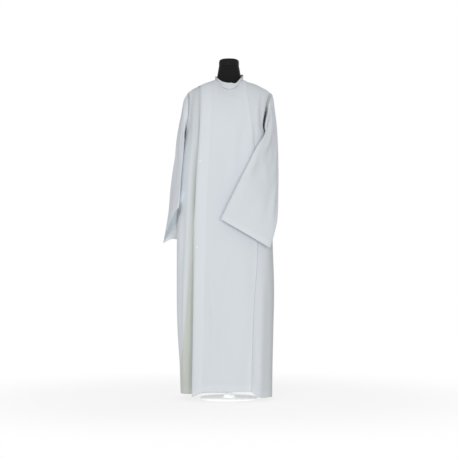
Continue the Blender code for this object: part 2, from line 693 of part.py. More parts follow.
def make_button(name, z, collection):
    # A small round button on the left front, just inside the wrap edge.
    x = WRAP.at("edge", z) + BUTTON_INSET
    low = HEM.at("left_front", x)
    share = LOW_SHARE * (z - low) / (FRONT_TURN - low)
    angle, share = np.array(angle_of(x, z)), np.array(share)
    centre = body_point(FRONT, "left_front", angle, share)
    into = inward(FRONT, "left_front", angle, share)
    radius, thick = BUTTON / 2, BUTTON_THICK
    profile = [(0.0, thick - 0.0008), (radius * 0.55, thick - 0.0008), (radius * 0.72, thick),
               (radius * 0.9, thick), (radius, thick * 0.6), (radius * 0.95, 0.0), (0.0, 0.0)]
    thing = turned(name, profile, "button", collection, steps=16)
    out = -into
    thing.location = centre + out * (WALL * 0.5 + SEAM)
    thing.rotation_euler = (math.acos(out[2]), 0.0, math.atan2(out[1], out[0]) + math.pi / 2)
    return thing


def main():
    for thing in list(bpy.data.objects):
        bpy.data.objects.remove(thing, do_unlink=True)
    collection = bpy.data.collections.new("alb_robe")
    bpy.context.scene.collection.children.link(collection)
    front_rows, back_rows = row_shares(FRONT, 13, 4, 9), row_shares(BACK, 13, 6, 7)
    cloth("left_front", left_front_grid(front_rows, LEFT_FRONT_COUNTS), collection)
    cloth("right_front", right_front_grid(front_rows, RIGHT_FRONT_COUNTS), collection)
    cloth("back", back_grid(back_rows, BACK_COUNTS), collection, flip=True)
    for side, table, twist, deep in (("left", LEFT_SLEEVE, LEFT_TWIST, 0.015),
                                     ("right", RIGHT_SLEEVE, RIGHT_TWIST, 0.0)):
        loop = armhole_loop(side, front_rows, back_rows)
        grid = sleeve_grid(side, table, twist, loop, 20, deep)
        cloth(side + "_sleeve", grid, collection, closed=True, flip=side == "right")
    cloth("collar", collar_grid(4, 12), collection)
    make_torso(collection)
    make_stand(collection)
    make_button("button_upper", 1.054, collection)
    make_button("button_lower", 0.677, collection)


main()
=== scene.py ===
import math

import bpy
import numpy as np
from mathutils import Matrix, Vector


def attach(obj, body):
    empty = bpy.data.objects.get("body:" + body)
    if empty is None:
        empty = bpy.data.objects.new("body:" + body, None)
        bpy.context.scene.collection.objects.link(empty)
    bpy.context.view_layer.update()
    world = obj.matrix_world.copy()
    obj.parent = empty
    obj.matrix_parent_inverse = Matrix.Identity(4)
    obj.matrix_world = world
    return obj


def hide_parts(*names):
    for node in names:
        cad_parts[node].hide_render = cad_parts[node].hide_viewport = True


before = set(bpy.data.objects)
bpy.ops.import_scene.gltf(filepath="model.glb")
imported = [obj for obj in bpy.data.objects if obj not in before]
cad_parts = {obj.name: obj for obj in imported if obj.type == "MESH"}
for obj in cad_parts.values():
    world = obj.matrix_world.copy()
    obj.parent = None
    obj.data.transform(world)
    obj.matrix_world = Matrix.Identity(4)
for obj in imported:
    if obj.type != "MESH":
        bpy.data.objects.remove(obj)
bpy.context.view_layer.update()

# A long pale alb on a black limbless dress form. Metres, Z up, the front faces -Y.

clothWall = 0.0009        # thickness of the woven cloth
seamGap = 0.0002          # between pieces that meet at a seam
frontFace, backFace = -1, 1
frontTurn = 1.20          # height where the chest starts to curve in to the shoulder
backTurn = 1.25
frontDome = 1.8           # roundness of the chest's curve, 2 is an ellipse
backDome = 2.0
armpitHeight = 1.165
lowShare = 0.62           # part of a panel's rows that lie below the turn
neckMid = 0.002           # neckline, seen from above
neckHalf = 0.061
neckFront = 0.064
neckBack = 0.055
rowSlack = 0.001          # a row this little above the armpit still ends at the side seam
foldFade = 0.8            # power by which long folds die out towards their tops


class Table:
    # Rows with named columns, keyed by the first one. at() runs smoothly through a column,
    # with no overshoot between its rows.
    steepest = 2.5            # limit of a slope, as times the smaller rise beside its row

    def __init__(self, names, *rows):
        self.columns = {name: np.array([row[i] for row in rows], float)
                        for i, name in enumerate(names.split())}
        self.keys = np.array([row[0] for row in rows], float)

    def at(self, name, key):
        keys, values = self.keys, self.columns[name]
        step = np.diff(keys)
        rise = np.diff(values) / step
        slope = np.concatenate(([rise[0]], 0.5 * (rise[:-1] + rise[1:]), [rise[-1]]))
        turning = np.concatenate(([False], rise[:-1] * rise[1:] <= 0, [False]))
        slope[turning] = 0.0
        before, after = np.abs(np.insert(rise, 0, rise[0])), np.abs(np.append(rise, rise[-1]))
        limit = self.steepest * np.minimum(before, after)
        slope = np.clip(slope, -limit, limit)
        key = np.clip(key, keys[0], keys[-1])
        i = np.clip(np.searchsorted(keys, key, side="right") - 1, 0, len(step) - 1)
        t = (key - keys[i]) / step[i]
        ease = t * t * (3 - 2 * t)
        return (values[i] * (1 - ease) + values[i + 1] * ease
                + step[i] * (slope[i] * t * (1 - t) ** 2 - slope[i + 1] * t * t * (1 - t)))


# The worn body: where its sides are and how deep it is, from the hem up. "square" is the
# power of its section: 2 is an ellipse, more is boxier.
bodyTable = Table(
    "z      left    right  front  back   square",
    (0.000, -0.2150, 0.189, 0.172, 0.165, 3.2),
    (0.150, -0.2205, 0.193, 0.170, 0.163, 3.1),
    (0.300, -0.2295, 0.198, 0.168, 0.160, 3.0),
    (0.485, -0.2340, 0.202, 0.164, 0.155, 2.9),
    (0.665, -0.2340, 0.197, 0.158, 0.148, 2.8),
    (0.870, -0.2275, 0.191, 0.152, 0.138, 2.85),
    (1.050, -0.2195, 0.184, 0.146, 0.130, 2.8),
    (1.165, -0.1990, 0.179, 0.141, 0.124, 2.5),
    (1.250, -0.1930, 0.178, 0.134, 0.120, 2.4),
    (1.380, -0.1900, 0.191, 0.128, 0.116, 2.3))

# Height of the shoulder line, outwards from the neck. Inside the neck hole it only guides
# the slope of the panels towards the neckline.
shoulderTable = Table(
    "x      front   back",
    (0.000, 1.4120, 1.4560),
    (0.030, 1.4180, 1.4520),
    (0.060, 1.4330, 1.4330),
    (0.090, 1.4235, 1.4235),
    (0.1125, 1.4155, 1.4155),
    (0.135, 1.4050, 1.4050),
    (0.155, 1.3945, 1.3945),
    (0.170, 1.3860, 1.3860),
    (0.183, 1.3765, 1.3765))

# Where each armhole's seam runs above the armpit, on the front and on the back.
armholeTable = Table(
    "z      right_front right_back left_front left_back",
    (1.165, -0.1990, -0.1990, 0.1790, 0.1790),
    (1.172, -0.1984, -0.1955, 0.1720, 0.1775),
    (1.185, -0.1962, -0.1900, 0.1610, 0.1735),
    (1.200, -0.1920, -0.1835, 0.1530, 0.1685),
    (1.220, -0.1880, -0.1780, 0.1495, 0.1635),
    (1.260, -0.1820, -0.1700, 0.1545, 0.1590),
    (1.310, -0.1780, -0.1680, 0.1640, 0.1610),
    (1.345, -0.1770, -0.1710, 0.1725, 0.1690),
    (1.3765, -0.1810, -0.1810, 0.1830, 0.1830))

# Height of the hem along each panel.
hemTable = Table(
    "x      left_front right_front back",
    (-0.220, 0.0240, 0.0290, 0.0290),
    (-0.165, 0.0215, 0.0310, 0.0220),
    (-0.140, 0.0300, 0.0330, 0.0200),
    (-0.105, 0.0430, 0.0400, 0.0180),
    (0.095, 0.0440, 0.0400, 0.0200),
    (0.125, 0.0240, 0.0300, 0.0180),
    (0.150, 0.0160, 0.0200, 0.0170),
    (0.190, 0.0170, 0.0200, 0.0170))

# The wrap edge of the left front, and its knife pleat: where the fold's edge is, how far
# the cloth goes back under it, and the radius of its two turns.
wrapTable = Table(
    "z      edge    pleat  under  turn",
    (0.000, -0.1640, 0.0960, 0.026, 0.0024),
    (0.250, -0.1590, 0.1030, 0.027, 0.0024),
    (0.450, -0.1560, 0.1110, 0.027, 0.0024),
    (0.620, -0.1530, 0.1240, 0.027, 0.0024),
    (0.850, -0.1490, 0.1260, 0.025, 0.0023),
    (1.050, -0.1390, 0.1170, 0.021, 0.0021),
    (1.200, -0.1300, 0.1040, 0.016, 0.0018),
    (1.300, -0.1270, 0.0900, 0.011, 0.0014),
    (1.380, -0.1275, 0.0800, 0.007, 0.0011),
    (1.430, -0.1280, 0.0760, 0.005, 0.0010))

# The valley in the right front beside the wrap edge, and how deep that front lies under
# the left one.
valleyTable = Table(
    "z      middle  half   deep   under",
    (0.000, -0.1600, 0.056, 0.050, 0.016),
    (0.150, -0.1610, 0.054, 0.046, 0.016),
    (0.300, -0.1610, 0.048, 0.040, 0.015),
    (0.485, -0.1590, 0.040, 0.034, 0.014),
    (0.665, -0.1610, 0.031, 0.028, 0.012),
    (0.870, -0.1560, 0.026, 0.026, 0.010),
    (1.050, -0.1490, 0.022, 0.018, 0.0080),
    (1.200, -0.1430, 0.019, 0.011, 0.0055),
    (1.300, -0.1395, 0.016, 0.006, 0.0038),
    (1.380, -0.1370, 0.015, 0.003, 0.0026),
    (1.430, -0.1360, 0.015, 0.001, 0.0024))

# Long soft folds that stand out from the back and the side: middle and half width as an
# angle from -1, one side seam, to 1, the other; height of the crest at the hem and where
# the fold dies out.
foldTable = Table(
    "number face  middle half  crest  top",
    (0, backFace, -0.62, 0.24, 0.016, 1.16),
    (1, backFace, -0.17, 0.17, -0.020, 1.28),
    (2, backFace, 0.17, 0.17, -0.019, 1.30),
    (3, backFace, 0.63, 0.23, 0.015, 1.12),
    (4, frontFace, 0.72, 0.22, 0.012, 1.05))

# The sleeves, from the armhole (0) to the cuff (1): the two edges along which each lies
# folded, fore and aft, and how far its over-arm and under-arm layers bulge from the middle
# between them.
sleeveColumns = (
    "share fore_x fore_y fore_z aft_x aft_y aft_z over_x over_y over_z under_x under_y under_z square")
leftSleeveTable = Table(
    sleeveColumns,
    (0.00, 0.1520, -0.072, 1.212, 0.1650, 0.060, 1.310, 0.014, -0.032, 0.090, 0.014, 0.034, -0.084, 2.1),
    (0.04, 0.1575, -0.078, 1.208, 0.1800, 0.061, 1.300, 0.015, -0.028, 0.086, 0.020, 0.031, -0.086, 2.1),
    (0.10, 0.1610, -0.087, 1.200, 0.1950, 0.052, 1.270, 0.015, -0.022, 0.071, 0.014, 0.031, -0.084, 2.1),
    (0.16, 0.1600, -0.096, 1.189, 0.2100, 0.028, 1.225, 0.012, -0.018, 0.049, 0.012, 0.037, -0.073, 2.0),
    (0.26, 0.1535, -0.112, 1.166, 0.2185, -0.012, 1.150, 0.006, -0.016, 0.022, 0.007, 0.023, -0.048, 2.0),
    (0.40, 0.1210, -0.143, 1.115, 0.2205, -0.052, 1.045, 0.001, -0.017, 0.008, 0.002, 0.016, -0.018, 2.0),
    (0.58, 0.0740, -0.170, 1.020, 0.2190, -0.084, 0.925, 0.000, -0.016, 0.000, 0.002, 0.006, -0.004, 2.0),
    (0.79, 0.0220, -0.183, 0.915, 0.2130, -0.126, 0.800, 0.000, -0.015, 0.000, 0.000, 0.005, 0.000, 2.0),
    (0.90, -0.0070, -0.185, 0.857, 0.1990, -0.144, 0.737, 0.000, -0.014, 0.000, 0.000, 0.006, 0.000, 2.0),
    (1.00, -0.0350, -0.186, 0.797, 0.1800, -0.156, 0.673, 0.000, -0.014, 0.000, 0.000, 0.006, 0.000, 2.0))
rightSleeveTable = Table(
    sleeveColumns,
    (0.00, -0.1800, -0.070, 1.270, -0.1700, 0.070, 1.270, 0.000, 0.000, 0.105, 0.000, 0.000, -0.105, 2.2),
    (0.08, -0.1925, -0.074, 1.235, -0.1900, 0.075, 1.240, -0.012, 0.000, 0.095, -0.017, 0.000, -0.084, 2.2),
    (0.16, -0.1965, -0.080, 1.195, -0.2070, 0.080, 1.205, -0.016, 0.000, 0.062, -0.011, 0.000, -0.062, 2.1),
    (0.28, -0.1995, -0.089, 1.135, -0.2260, 0.088, 1.140, -0.018, 0.000, 0.028, -0.005, 0.000, -0.032, 2.0),
    (0.42, -0.2050, -0.098, 1.060, -0.2430, 0.095, 1.060, -0.014, 0.000, 0.012, -0.008, 0.002, -0.012, 1.9),
    (0.60, -0.2120, -0.107, 0.980, -0.2610, 0.098, 0.950, -0.011, 0.000, 0.000, -0.003, 0.014, -0.012, 1.6),
    (0.80, -0.2170, -0.116, 0.912, -0.2740, 0.086, 0.830, -0.010, -0.006, 0.000, 0.002, 0.045, -0.028, 1.2),
    (1.00, -0.2228, -0.122, 0.850, -0.2960, 0.062, 0.697, -0.009, -0.010, 0.004, 0.026, 0.104, -0.060, 0.65))


def smooth(low, high, value):
    t = np.clip((value - low) / (high - low), 0.0, 1.0)
    return t * t * (3 - 2 * t)


def band(places, value):
    # 1 between the middle two of four places, 0 outside the outer two.
    return smooth(places[0], places[1], value) * (1 - smooth(places[2], places[3], value))


def section(z):
    left, right = bodyTable.at("left", z), bodyTable.at("right", z)
    return 0.5 * (left + right), 0.5 * (right - left), bodyTable.at("square", z)


def angleOf(x, z):
    middle, half, square = section(z)
    off = np.clip((x - middle) / half, -1.0, 1.0)
    return np.sign(off) * 2 / math.pi * np.arcsin(np.abs(off) ** (square / 2))


def placeOf(angle, z):
    middle, half, square = section(z)
    return middle + half * np.sign(angle) * np.abs(np.sin(0.5 * math.pi * angle)) ** (2 / square)


def seamAngle(face, z):
    # The angle of a side seam, short of the side by half the seam's gap.
    deep = bodyTable.at("front" if face == frontFace else "back", z)
    return 2 / math.pi * np.arccos((seamGap / deep) ** (section(z)[2] / 2))


def dome(face):
    if face == frontFace:
        return "front", frontTurn, frontDome, neckFront
    return "back", backTurn, backDome, neckBack


def domeTop(face, x):
    # How far round its dome a column reaches: to the shoulder seam, or to the neckline.
    side, turn, power, neck = dome(face)
    off = np.clip(np.abs(x - neckMid) / neckHalf, 0.0, 1.0)
    edge = np.maximum(neck * np.sqrt(1 - off * off), seamGap)
    top = shoulderTable.at(side, np.abs(x))
    across = np.abs(np.cos(0.5 * math.pi * angleOf(x, top))) ** (2 / section(top)[2])
    return np.arccos(np.clip(edge / (bodyTable.at(side, turn) * across), 0.0, 1.0) ** (power / 2))


def reachUp(face, x, share):
    # A row's share of the height as its share of the way up to the turn, and above the turn
    # as the angle it has climbed round the dome.
    low = np.minimum(share / lowShare, 1.0)
    climb = np.clip((share - lowShare) / (1 - lowShare), 0.0, 1.0) * domeTop(face, x)
    return low, climb


def level(face, hem, x, low, climb):
    side, turn, power, _ = dome(face)
    bottom = hemTable.at(hem, x)
    raised = (shoulderTable.at(side, np.abs(x)) - turn) * np.sin(climb) ** (2 / power)
    return bottom + (turn - bottom) * low + raised


def height(face, hem, x, share):
    return level(face, hem, x, *reachUp(face, x, share))


def shape(face, hem, angle, low, climb):
    # The body's surface at an angle round it and a place up its column.
    side, turn, power, _ = dome(face)
    z = np.full_like(angle, turn)
    for _ in range(4):
        x = placeOf(angle, z)
        z = level(face, hem, x, low, climb)
    deep = bodyTable.at(side, np.minimum(z, turn)) * np.cos(climb) ** (2 / power)
    y = face * deep * np.abs(np.cos(0.5 * math.pi * angle)) ** (2 / section(z)[2])
    return np.stack([x, y, z], axis=-1)


def bodyPoint(face, hem, angle, share):
    low, climb = reachUp(face, placeOf(angle, dome(face)[1]), share)
    for _ in range(3):
        x = shape(face, hem, angle, low, climb)[..., 0]
        low, climb = reachUp(face, x, share)
    return shape(face, hem, angle, low, climb)


def inward(face, hem, angle, share):
    # The unit direction into the cloth, towards the form.
    step = 1e-4
    side = 1.0 - step
    low, climb = reachUp(face, bodyPoint(face, hem, angle, share)[..., 0], share)
    across = (shape(face, hem, np.minimum(angle + step, side), low, climb)
              - shape(face, hem, np.maximum(angle - step, -side), low, climb))
    domed = share >= lowShare
    up = (shape(face, hem, angle, low, climb + step * domed)
          - shape(face, hem, angle, low - step * ~domed, np.maximum(climb - step * domed, 0.0)))
    normal = np.cross(across, up) * face
    return normal / np.linalg.norm(normal, axis=-1, keepdims=True)


def folds(face, angle, z):
    # Depth of the long soft folds, inwards, fading towards their tops.
    depth = np.zeros_like(angle)
    columns = foldTable.columns
    for i in range(len(foldTable.keys)):
        if columns["face"][i] != face:
            continue
        off = np.clip(np.abs(angle - columns["middle"][i]) / columns["half"][i], 0.0, 1.0)
        fade = np.clip(1 - z / columns["top"][i], 0.0, 1.0) ** foldFade
        depth -= columns["crest"][i] * fade * (0.5 + 0.5 * np.cos(math.pi * off))
    return depth


def onBody(face, hem, angle, share, depth):
    return bodyPoint(face, hem, angle, share) + depth[..., None] * inward(face, hem, angle, share)


def settle(face, hem, share, line):
    # Where a line x = line(z) crosses the row at this share of the height.
    z = height(face, hem, 0.0, share)
    for _ in range(5):
        x = line(z)
        z = height(face, hem, x, share)
    return x, z


def panelEnd(face, column, hem, share):
    # The panel's end on this row: the side seam below the armpit, the armhole above.
    side = 1 if column.startswith("left") else -1
    x, z = settle(face, hem, share, lambda zNow: armholeTable.at(column, zNow))
    seam = seamAngle(face, z)
    return side * np.where(z < armpitHeight + rowSlack, seam, np.minimum(seam, side * angleOf(x, z)))


def spread(start, end, count, ends=0.0):
    # Even steps from start to end, without the end; "ends" crowds them towards both ends.
    t = np.arange(count) / count
    t = (1 - ends) * t + ends * (0.5 - 0.5 * np.cos(math.pi * t))
    return start + (end - start) * t


def armpitShare(face):
    # The row that passes the armpit, at the side seams.
    low = hemTable.at("back", bodyTable.at("right", 0.0))
    return lowShare * (armpitHeight - low) / (dome(face)[1] - low)


def neckLines(share):
    # The two ends of the neckline run down the panels as straight grid lines.
    crowd = smooth(lowShare, 1.0, share)
    return neckMid - neckHalf, neckMid + neckHalf, crowd


def armholeLoop(side, frontRows, backRows):
    # The armhole's seam as one closed curve, through the panels' own rows: up its front from
    # the armpit to the shoulder, then down its back.
    halves = []
    faces = ((frontFace, "_front", side + "_front", frontRows), (backFace, "_back", "back", backRows))
    for face, name, hem, rows in faces:
        shares = rows[rows > armpitShare(face) - 1e-6]
        halves.append(bodyPoint(face, hem, panelEnd(face, side + name, hem, shares), shares))
    return np.concatenate([halves[0][:-1], halves[1][:0:-1]])


straightEnd = (1.75, 1.98)   # where round a ring, in half turns, the straight under-arm layer ends


def sleeveRing(table, share, turn):
    # One ring of the tube; turn is 0 on its fore edge and half a round on its aft edge. A
    # "square" below 2 pulls the under-arm layer straight towards its middle.
    fore, aft, over, under = [
        np.array([table.at(name + "_" + axis, share) for axis in "xyz"])
        for name in ("fore", "aft", "over", "under")]
    square = table.at("square", share)
    power = 2 / np.maximum(square, 2.0)
    reach = -np.sign(np.cos(turn)) * np.abs(np.cos(turn)) ** power
    bulge = np.abs(np.sin(turn)) ** power
    straight = np.maximum(2.0 - square, 0.0) * (1 - smooth(*straightEnd, turn / math.pi))
    straight = np.where(turn < math.pi, 0.0, straight)
    along = 3 - 2 * turn / math.pi
    reach = reach * (1 - straight) + straight * along
    bulge = bulge * (1 - straight) + straight * (1 - np.abs(along))
    side = np.where((turn < math.pi)[:, None], over, under)
    return 0.5 * (fore + aft) + 0.5 * reach[:, None] * (aft - fore) + bulge[:, None] * side


def neckline(turn):
    # A point of the neckline seam; turn is 0 at the front and grows towards +X.
    x = neckMid + neckHalf * np.sin(turn)
    front = np.cos(turn) > 0
    neck = np.where(front, neckFront, neckBack)
    y = -np.cos(turn) * neck
    z = np.where(front, height(frontFace, "left_front", x, np.ones_like(x)),
                 height(backFace, "back", x, np.ones_like(x)))
    return np.stack([x, y, z], axis=-1)


# Cloth as meshes. A crease is a soft trough (deep above 0) or ridge (below 0) on a leaning line:
# its two ends, its width and depth, and how far it bows as a share of its length.
creaseForm = {
    "ends": (-0.05, 0.40, 0.55, 1.05),    # along it, where its depth comes and goes
    "wide": (0.75, 1.25),     # times its width, at its first end and at its last
    "rims": (1.9, 0.9, 0.36), # beside it, in its widths: how far off, how wide and how high
}
farOff = 9.0              # a distance that stands for "no such edge here"
drawnHem = 0.034          # width of the hem that the cloth's material draws


def creaseDepth(rows, x, z):
    total = np.zeros_like(x)
    first, last = creaseForm["wide"]
    rimAt, rimWide, rimHigh = creaseForm["rims"]
    for x0, z0, x1, z1, wide, deep, bow in rows:
        runX, runZ = x1 - x0, z1 - z0
        length = math.hypot(runX, runZ)
        along = ((x - x0) * runX + (z - z0) * runZ) / length ** 2
        inside = np.clip(along, 0.0, 1.0)
        off = ((x - x0) * runZ - (z - z0) * runX) / length - bow * length * 4 * inside * (1 - inside)
        off = off / (wide * (first + (last - first) * inside))
        rims = np.exp(-((np.abs(off) - rimAt) / rimWide) ** 2)
        total += deep * band(creaseForm["ends"], along) * (np.exp(-off * off) - rimHigh * rims)
    return total


def runLengths(points, axis):
    # How far along its row or column each point of a grid lies, in metres.
    step = np.linalg.norm(np.diff(points, axis=axis), axis=-1)
    start = np.zeros_like(np.take(step, [0], axis=axis))
    return np.concatenate([start, np.cumsum(step, axis=axis)], axis=axis)


def ringNormals(points):
    wide = np.concatenate([points[:, -1:], points, points[:, :1]], axis=1)
    normal = np.cross(wide[:, 2:] - wide[:, :-2], np.gradient(points, axis=0))
    return normal / np.maximum(np.linalg.norm(normal, axis=-1, keepdims=True), 1e-9)


def clothPiece(name, points, marks, closed=False, flip=False, wall=clothWall):
    # A grid of points as a thin shell. Its maps: "weave" is how far across and along the cloth,
    # "edges" how far from its hem and its front edge, "folds" how far from a pressed fold and
    # how warm its painted shade is, and the last one holds its painted shade and painted light.
    rows, columns = points.shape[:2]
    around = columns if closed else columns - 1
    i, j = np.meshgrid(np.arange(rows - 1), np.arange(around), indexing="ij")
    i, j = i.ravel(), j.ravel()
    corners = [(i, j), (i, j + 1), (i + 1, j + 1), (i + 1, j)]
    if flip:
        corners = corners[::-1]
    faces = np.stack([row * columns + column % columns for row, column in corners], axis=1)
    mesh = bpy.data.meshes.new(name)
    mesh.from_pydata(points.reshape(-1, 3).tolist(), [], faces.tolist())
    wrapped = np.concatenate([points, points[:, :1]], axis=1) if closed else points
    up = runLengths(wrapped, 0)
    zero = np.zeros_like(up)
    maps = {"weave": (runLengths(wrapped, 1), up), "folds": (zero + farOff, zero), "paintedShading": (zero, zero)}
    maps.update(marks)
    for label, (first, second) in maps.items():
        layer = mesh.uv_layers.new(name=label)
        pairs = [np.stack([first[row, column], second[row, column]], axis=-1) for row, column in corners]
        layer.data.foreach_set("uv", np.stack(pairs, axis=1).ravel().astype(np.float32))
    piece = bpy.data.objects.new(name, mesh)
    bpy.context.scene.collection.objects.link(piece)
    shell = piece.modifiers.new("wall", "SOLIDIFY")
    shell.thickness = wall
    shell.offset = 0.0
    shell.use_even_offset = not closed
    bpy.ops.object.select_all(action="DESELECT")
    bpy.context.view_layer.objects.active = piece
    piece.select_set(True)
    bpy.ops.object.modifier_apply(modifier="wall")
    piece.data.shade_smooth()
    piece.data.set_sharp_from_angle(angle=math.radians(60))
    return piece


def sheetArea(points, closed=False):
    wrapped = np.concatenate([points, points[:, :1]], axis=1) if closed else points
    a, b = wrapped[1:, :-1] - wrapped[:-1, :-1], wrapped[:-1, 1:] - wrapped[:-1, :-1]
    return float(np.linalg.norm(np.cross(a, b), axis=-1).sum())


# Rows of the fronts and the back
fineRows = {
    "hem": (0.0, 0.0012, 0.003, 0.006, 0.012, 0.020, 0.027, 0.031, 0.034, 0.037, 0.041, 0.048, 0.058),
    "front": (66, 9, 26),     # rows below the armpit, up to the turn, and up to the shoulder
    "back": (66, 12, 22),
    "hemAt": 0.035,           # middling height of the hem
}


def fineShares(face):
    low, arm, high = fineRows["front" if face == frontFace else "back"]
    reach = dome(face)[1] - fineRows["hemAt"]
    hem = np.array(fineRows["hem"]) * lowShare / reach
    armpit = armpitShare(face)
    return np.concatenate([hem, spread(hem[-1], armpit, low)[1:], spread(armpit, lowShare, arm),
                           spread(lowShare, 1.0, high), [1.0]])


frontShares, backShares = fineShares(frontFace), fineShares(backFace)

leftFront = {
    # columns: by distance from the wrap edge, then how many to the neckline, along it, over the
    # chest, round each turn of the pleat, between its turns, and on to the side
    "edge": (0.0, 0.0012, 0.003, 0.005, 0.0075, 0.010, 0.014, 0.021, 0.031, 0.042, 0.050, 0.053, 0.060),
    "lap": 5,
    "neck": 30,
    "chest": 12,
    "turn": 8,
    "under": 3,
    "flute": 30,
    "curl": (0.0012, 0.006),  # how far the wrap edge rolls in, and over what width
    "turns": (0.60, 0.36),    # share of the table's turns that is built, low and high up,
    "turnsFrom": (1.02, 1.30),    # between these heights,
    "turnLeast": 0.0006,      # and never less than this
    "stepTop": 0.4,           # at the shoulder, share of the way to the side that eases the pleat's step
    "foldsFull": 0.6,         # share of that way after which the long folds are full
    "hemCalm": (0.03, 0.06, 0.35),    # creases grow between two heights, from this share of theirs
    "sideCalm": 0.05,         # angle over which they end at the side
    "foldPaintedLightTop": (0.95, 1.15), # heights over which the painted light along the fold dies out
    "pleatLit": 0.04,         # painted light: how much lighter the pressed pleat is drawn, and where from its fold
    "pleatBand": (-0.034, -0.004, 0.0, 0.003),
    "foldGlow": 0.10,         # painted light: a glow on the cloth past the pleat's turned edge
    "glowBand": (-0.0015, 0.0, 0.050, 0.056),
    "glowTop": (0.85, 0.95),
    "outerDark": 0.13,        # painted shade: how much darker the cloth is drawn towards the side
    "outerBand": (0.095, 0.135),
    "outerTop": (1.00, 1.10),
    "creases": (
        (-0.004, 0.400, -0.024, 0.080, 0.028, 0.0042, 0.04),
        (-0.066, 0.640, -0.046, 0.270, 0.022, -0.0034, 0.05),
        (-0.083, 0.470, -0.100, 0.075, 0.014, 0.0024, 0.00),
        (0.060, 0.700, 0.050, 0.100, 0.030, -0.0036, -0.03),
        (0.018, 0.640, -0.006, 0.420, 0.014, 0.0026, 0.06),
        (0.076, 1.260, 0.046, 0.900, 0.020, 0.0036, 0.03),
        (-0.060, 1.320, -0.072, 0.930, 0.024, -0.0022, 0.02),
        (-0.020, 1.240, -0.010, 0.850, 0.026, 0.0018, -0.03),
        (-0.036, 1.366, 0.052, 1.360, 0.0050, 0.0013, -0.10),
        (-0.024, 1.352, 0.064, 1.345, 0.0060, 0.0011, -0.10),
        (-0.090, 0.430, -0.028, 0.350, 0.013, -0.0016, 0.03),
        (-0.075, 0.560, -0.020, 0.500, 0.016, -0.0014, -0.04),
        (-0.020, 0.720, 0.030, 0.640, 0.018, 0.0018, 0.05),
        (0.010, 0.300, 0.070, 0.270, 0.020, 0.0010, 0.05),
        (0.150, 1.380, 0.144, 1.190, 0.009, 0.0024, 0.02),
        (0.128, 1.340, 0.124, 1.170, 0.010, -0.0010, 0.00),
        (0.118, 1.240, 0.112, 1.080, 0.009, 0.0016, 0.00),
        (0.152, 0.640, 0.148, 0.020, 0.018, -0.0026, 0.01),
        (0.120, 0.300, 0.116, 0.005, 0.012, 0.0030, 0.00),
    ),
}


def buildLeftFront(values):
    face, hem = frontFace, "left_front"
    curl, curlWide = values["curl"]
    calmLow, calmHigh, calmShare = values["hemCalm"]
    rows = []
    for share in frontShares:
        places, depths = pleatPath(share, values)
        z = height(face, hem, places, share)
        angles = angleOf(places, z)
        end = panelEnd(face, "left_front", hem, share)
        flute = np.append(spread(angles[-1], end, values["flute"])[1:], end)
        reach = 1.0 - (1.0 - values["stepTop"]) * smooth(lowShare, 1.0, share)
        ease = smooth(0.0, reach, (flute - angles[-1]) / (end - angles[-1]))
        depths = np.concatenate([depths, depths[-1] * (1 - ease)])
        angles = np.concatenate([angles, flute])
        levels = height(face, hem, placeOf(angles, height(face, hem, places[-1], share)), share)
        x = placeOf(angles, levels)
        swell = smooth(0.0, values["foldsFull"], (angles - flute[0]) / (end - flute[0]))
        calm = smooth(0.0, values["sideCalm"], end - angles)
        calm = calm * (calmShare + (1 - calmShare) * smooth(calmLow, calmHigh, levels))
        depths = depths + folds(face, angles, levels) * swell
        depths = depths + creaseDepth(values["creases"], x, levels) * calm
        depths = depths + curl * (1 - smooth(0.0, curlWide, x - x[0]))
        rows.append(onBody(face, hem, angles, np.full_like(angles, share), depths))
    points = np.array(rows)
    z = points[..., 2]
    across, up = runLengths(points, 1), runLengths(points, 0)
    fold = len(values["edge"]) + values["lap"] + values["neck"] + values["chest"] + values["turn"] // 2
    past = across - across[:, fold:fold + 1]
    # Painted light along the pleat's fold and beside it, a painted glow past it, and painted shade towards
    # the side.
    offFold = np.abs(past) + farOff * smooth(*values["foldPaintedLightTop"], z)
    dark = values["outerDark"] * smooth(*values["outerBand"], past) * (1 - smooth(*values["outerTop"], z))
    dark -= values["pleatLit"] * band(values["pleatBand"], past)
    glow = values["foldGlow"] * band(values["glowBand"], past) * (1 - smooth(*values["glowTop"], z))
    maps = {"edges": (up, across), "folds": (offFold, np.zeros_like(up)), "paintedShading": (dark, glow)}
    return clothPiece("leftFront", points, maps), sheetArea(points)


def pleatPath(share, values):
    # Across the left front: positions along it and depths below its surface, from the wrap
    # edge over the knife pleat to where the cloth lies flat again.
    face, hem = frontFace, "left_front"
    edge = settle(face, hem, share, lambda z: wrapTable.at("edge", z))[0]
    fold, z = settle(face, hem, share, lambda z: wrapTable.at("pleat", z))
    under, turn = wrapTable.at("under", z), wrapTable.at("turn", z)
    low, high = values["turns"]
    turn = max(turn * (low + (high - low) * smooth(*values["turnsFrom"], z)), values["turnLeast"])
    neckLeft, neckRight, crowd = neckLines(share)
    stitched = edge + np.array(values["edge"])
    flat = np.concatenate([
        stitched, spread(stitched[-1], neckLeft, values["lap"] + 1)[1:],
        spread(neckLeft, neckRight, values["neck"], crowd),
        spread(neckRight, fold - turn, values["chest"])])
    roundOne = math.pi * (np.arange(values["turn"] + 1) / values["turn"] - 0.5)
    outer = fold - turn + turn * np.cos(roundOne)
    outerDeep = turn + turn * np.sin(roundOne)
    inner = fold - under + turn - turn * np.cos(roundOne)
    innerDeep = 3 * turn + turn * np.sin(roundOne)
    hidden = spread(outer[-1], inner[0], values["under"] + 1)[1:]
    places = np.concatenate([flat, outer, hidden, inner])
    depths = np.concatenate([0 * flat, outerDeep, 0 * hidden + 2 * turn, innerDeep])
    return places, depths


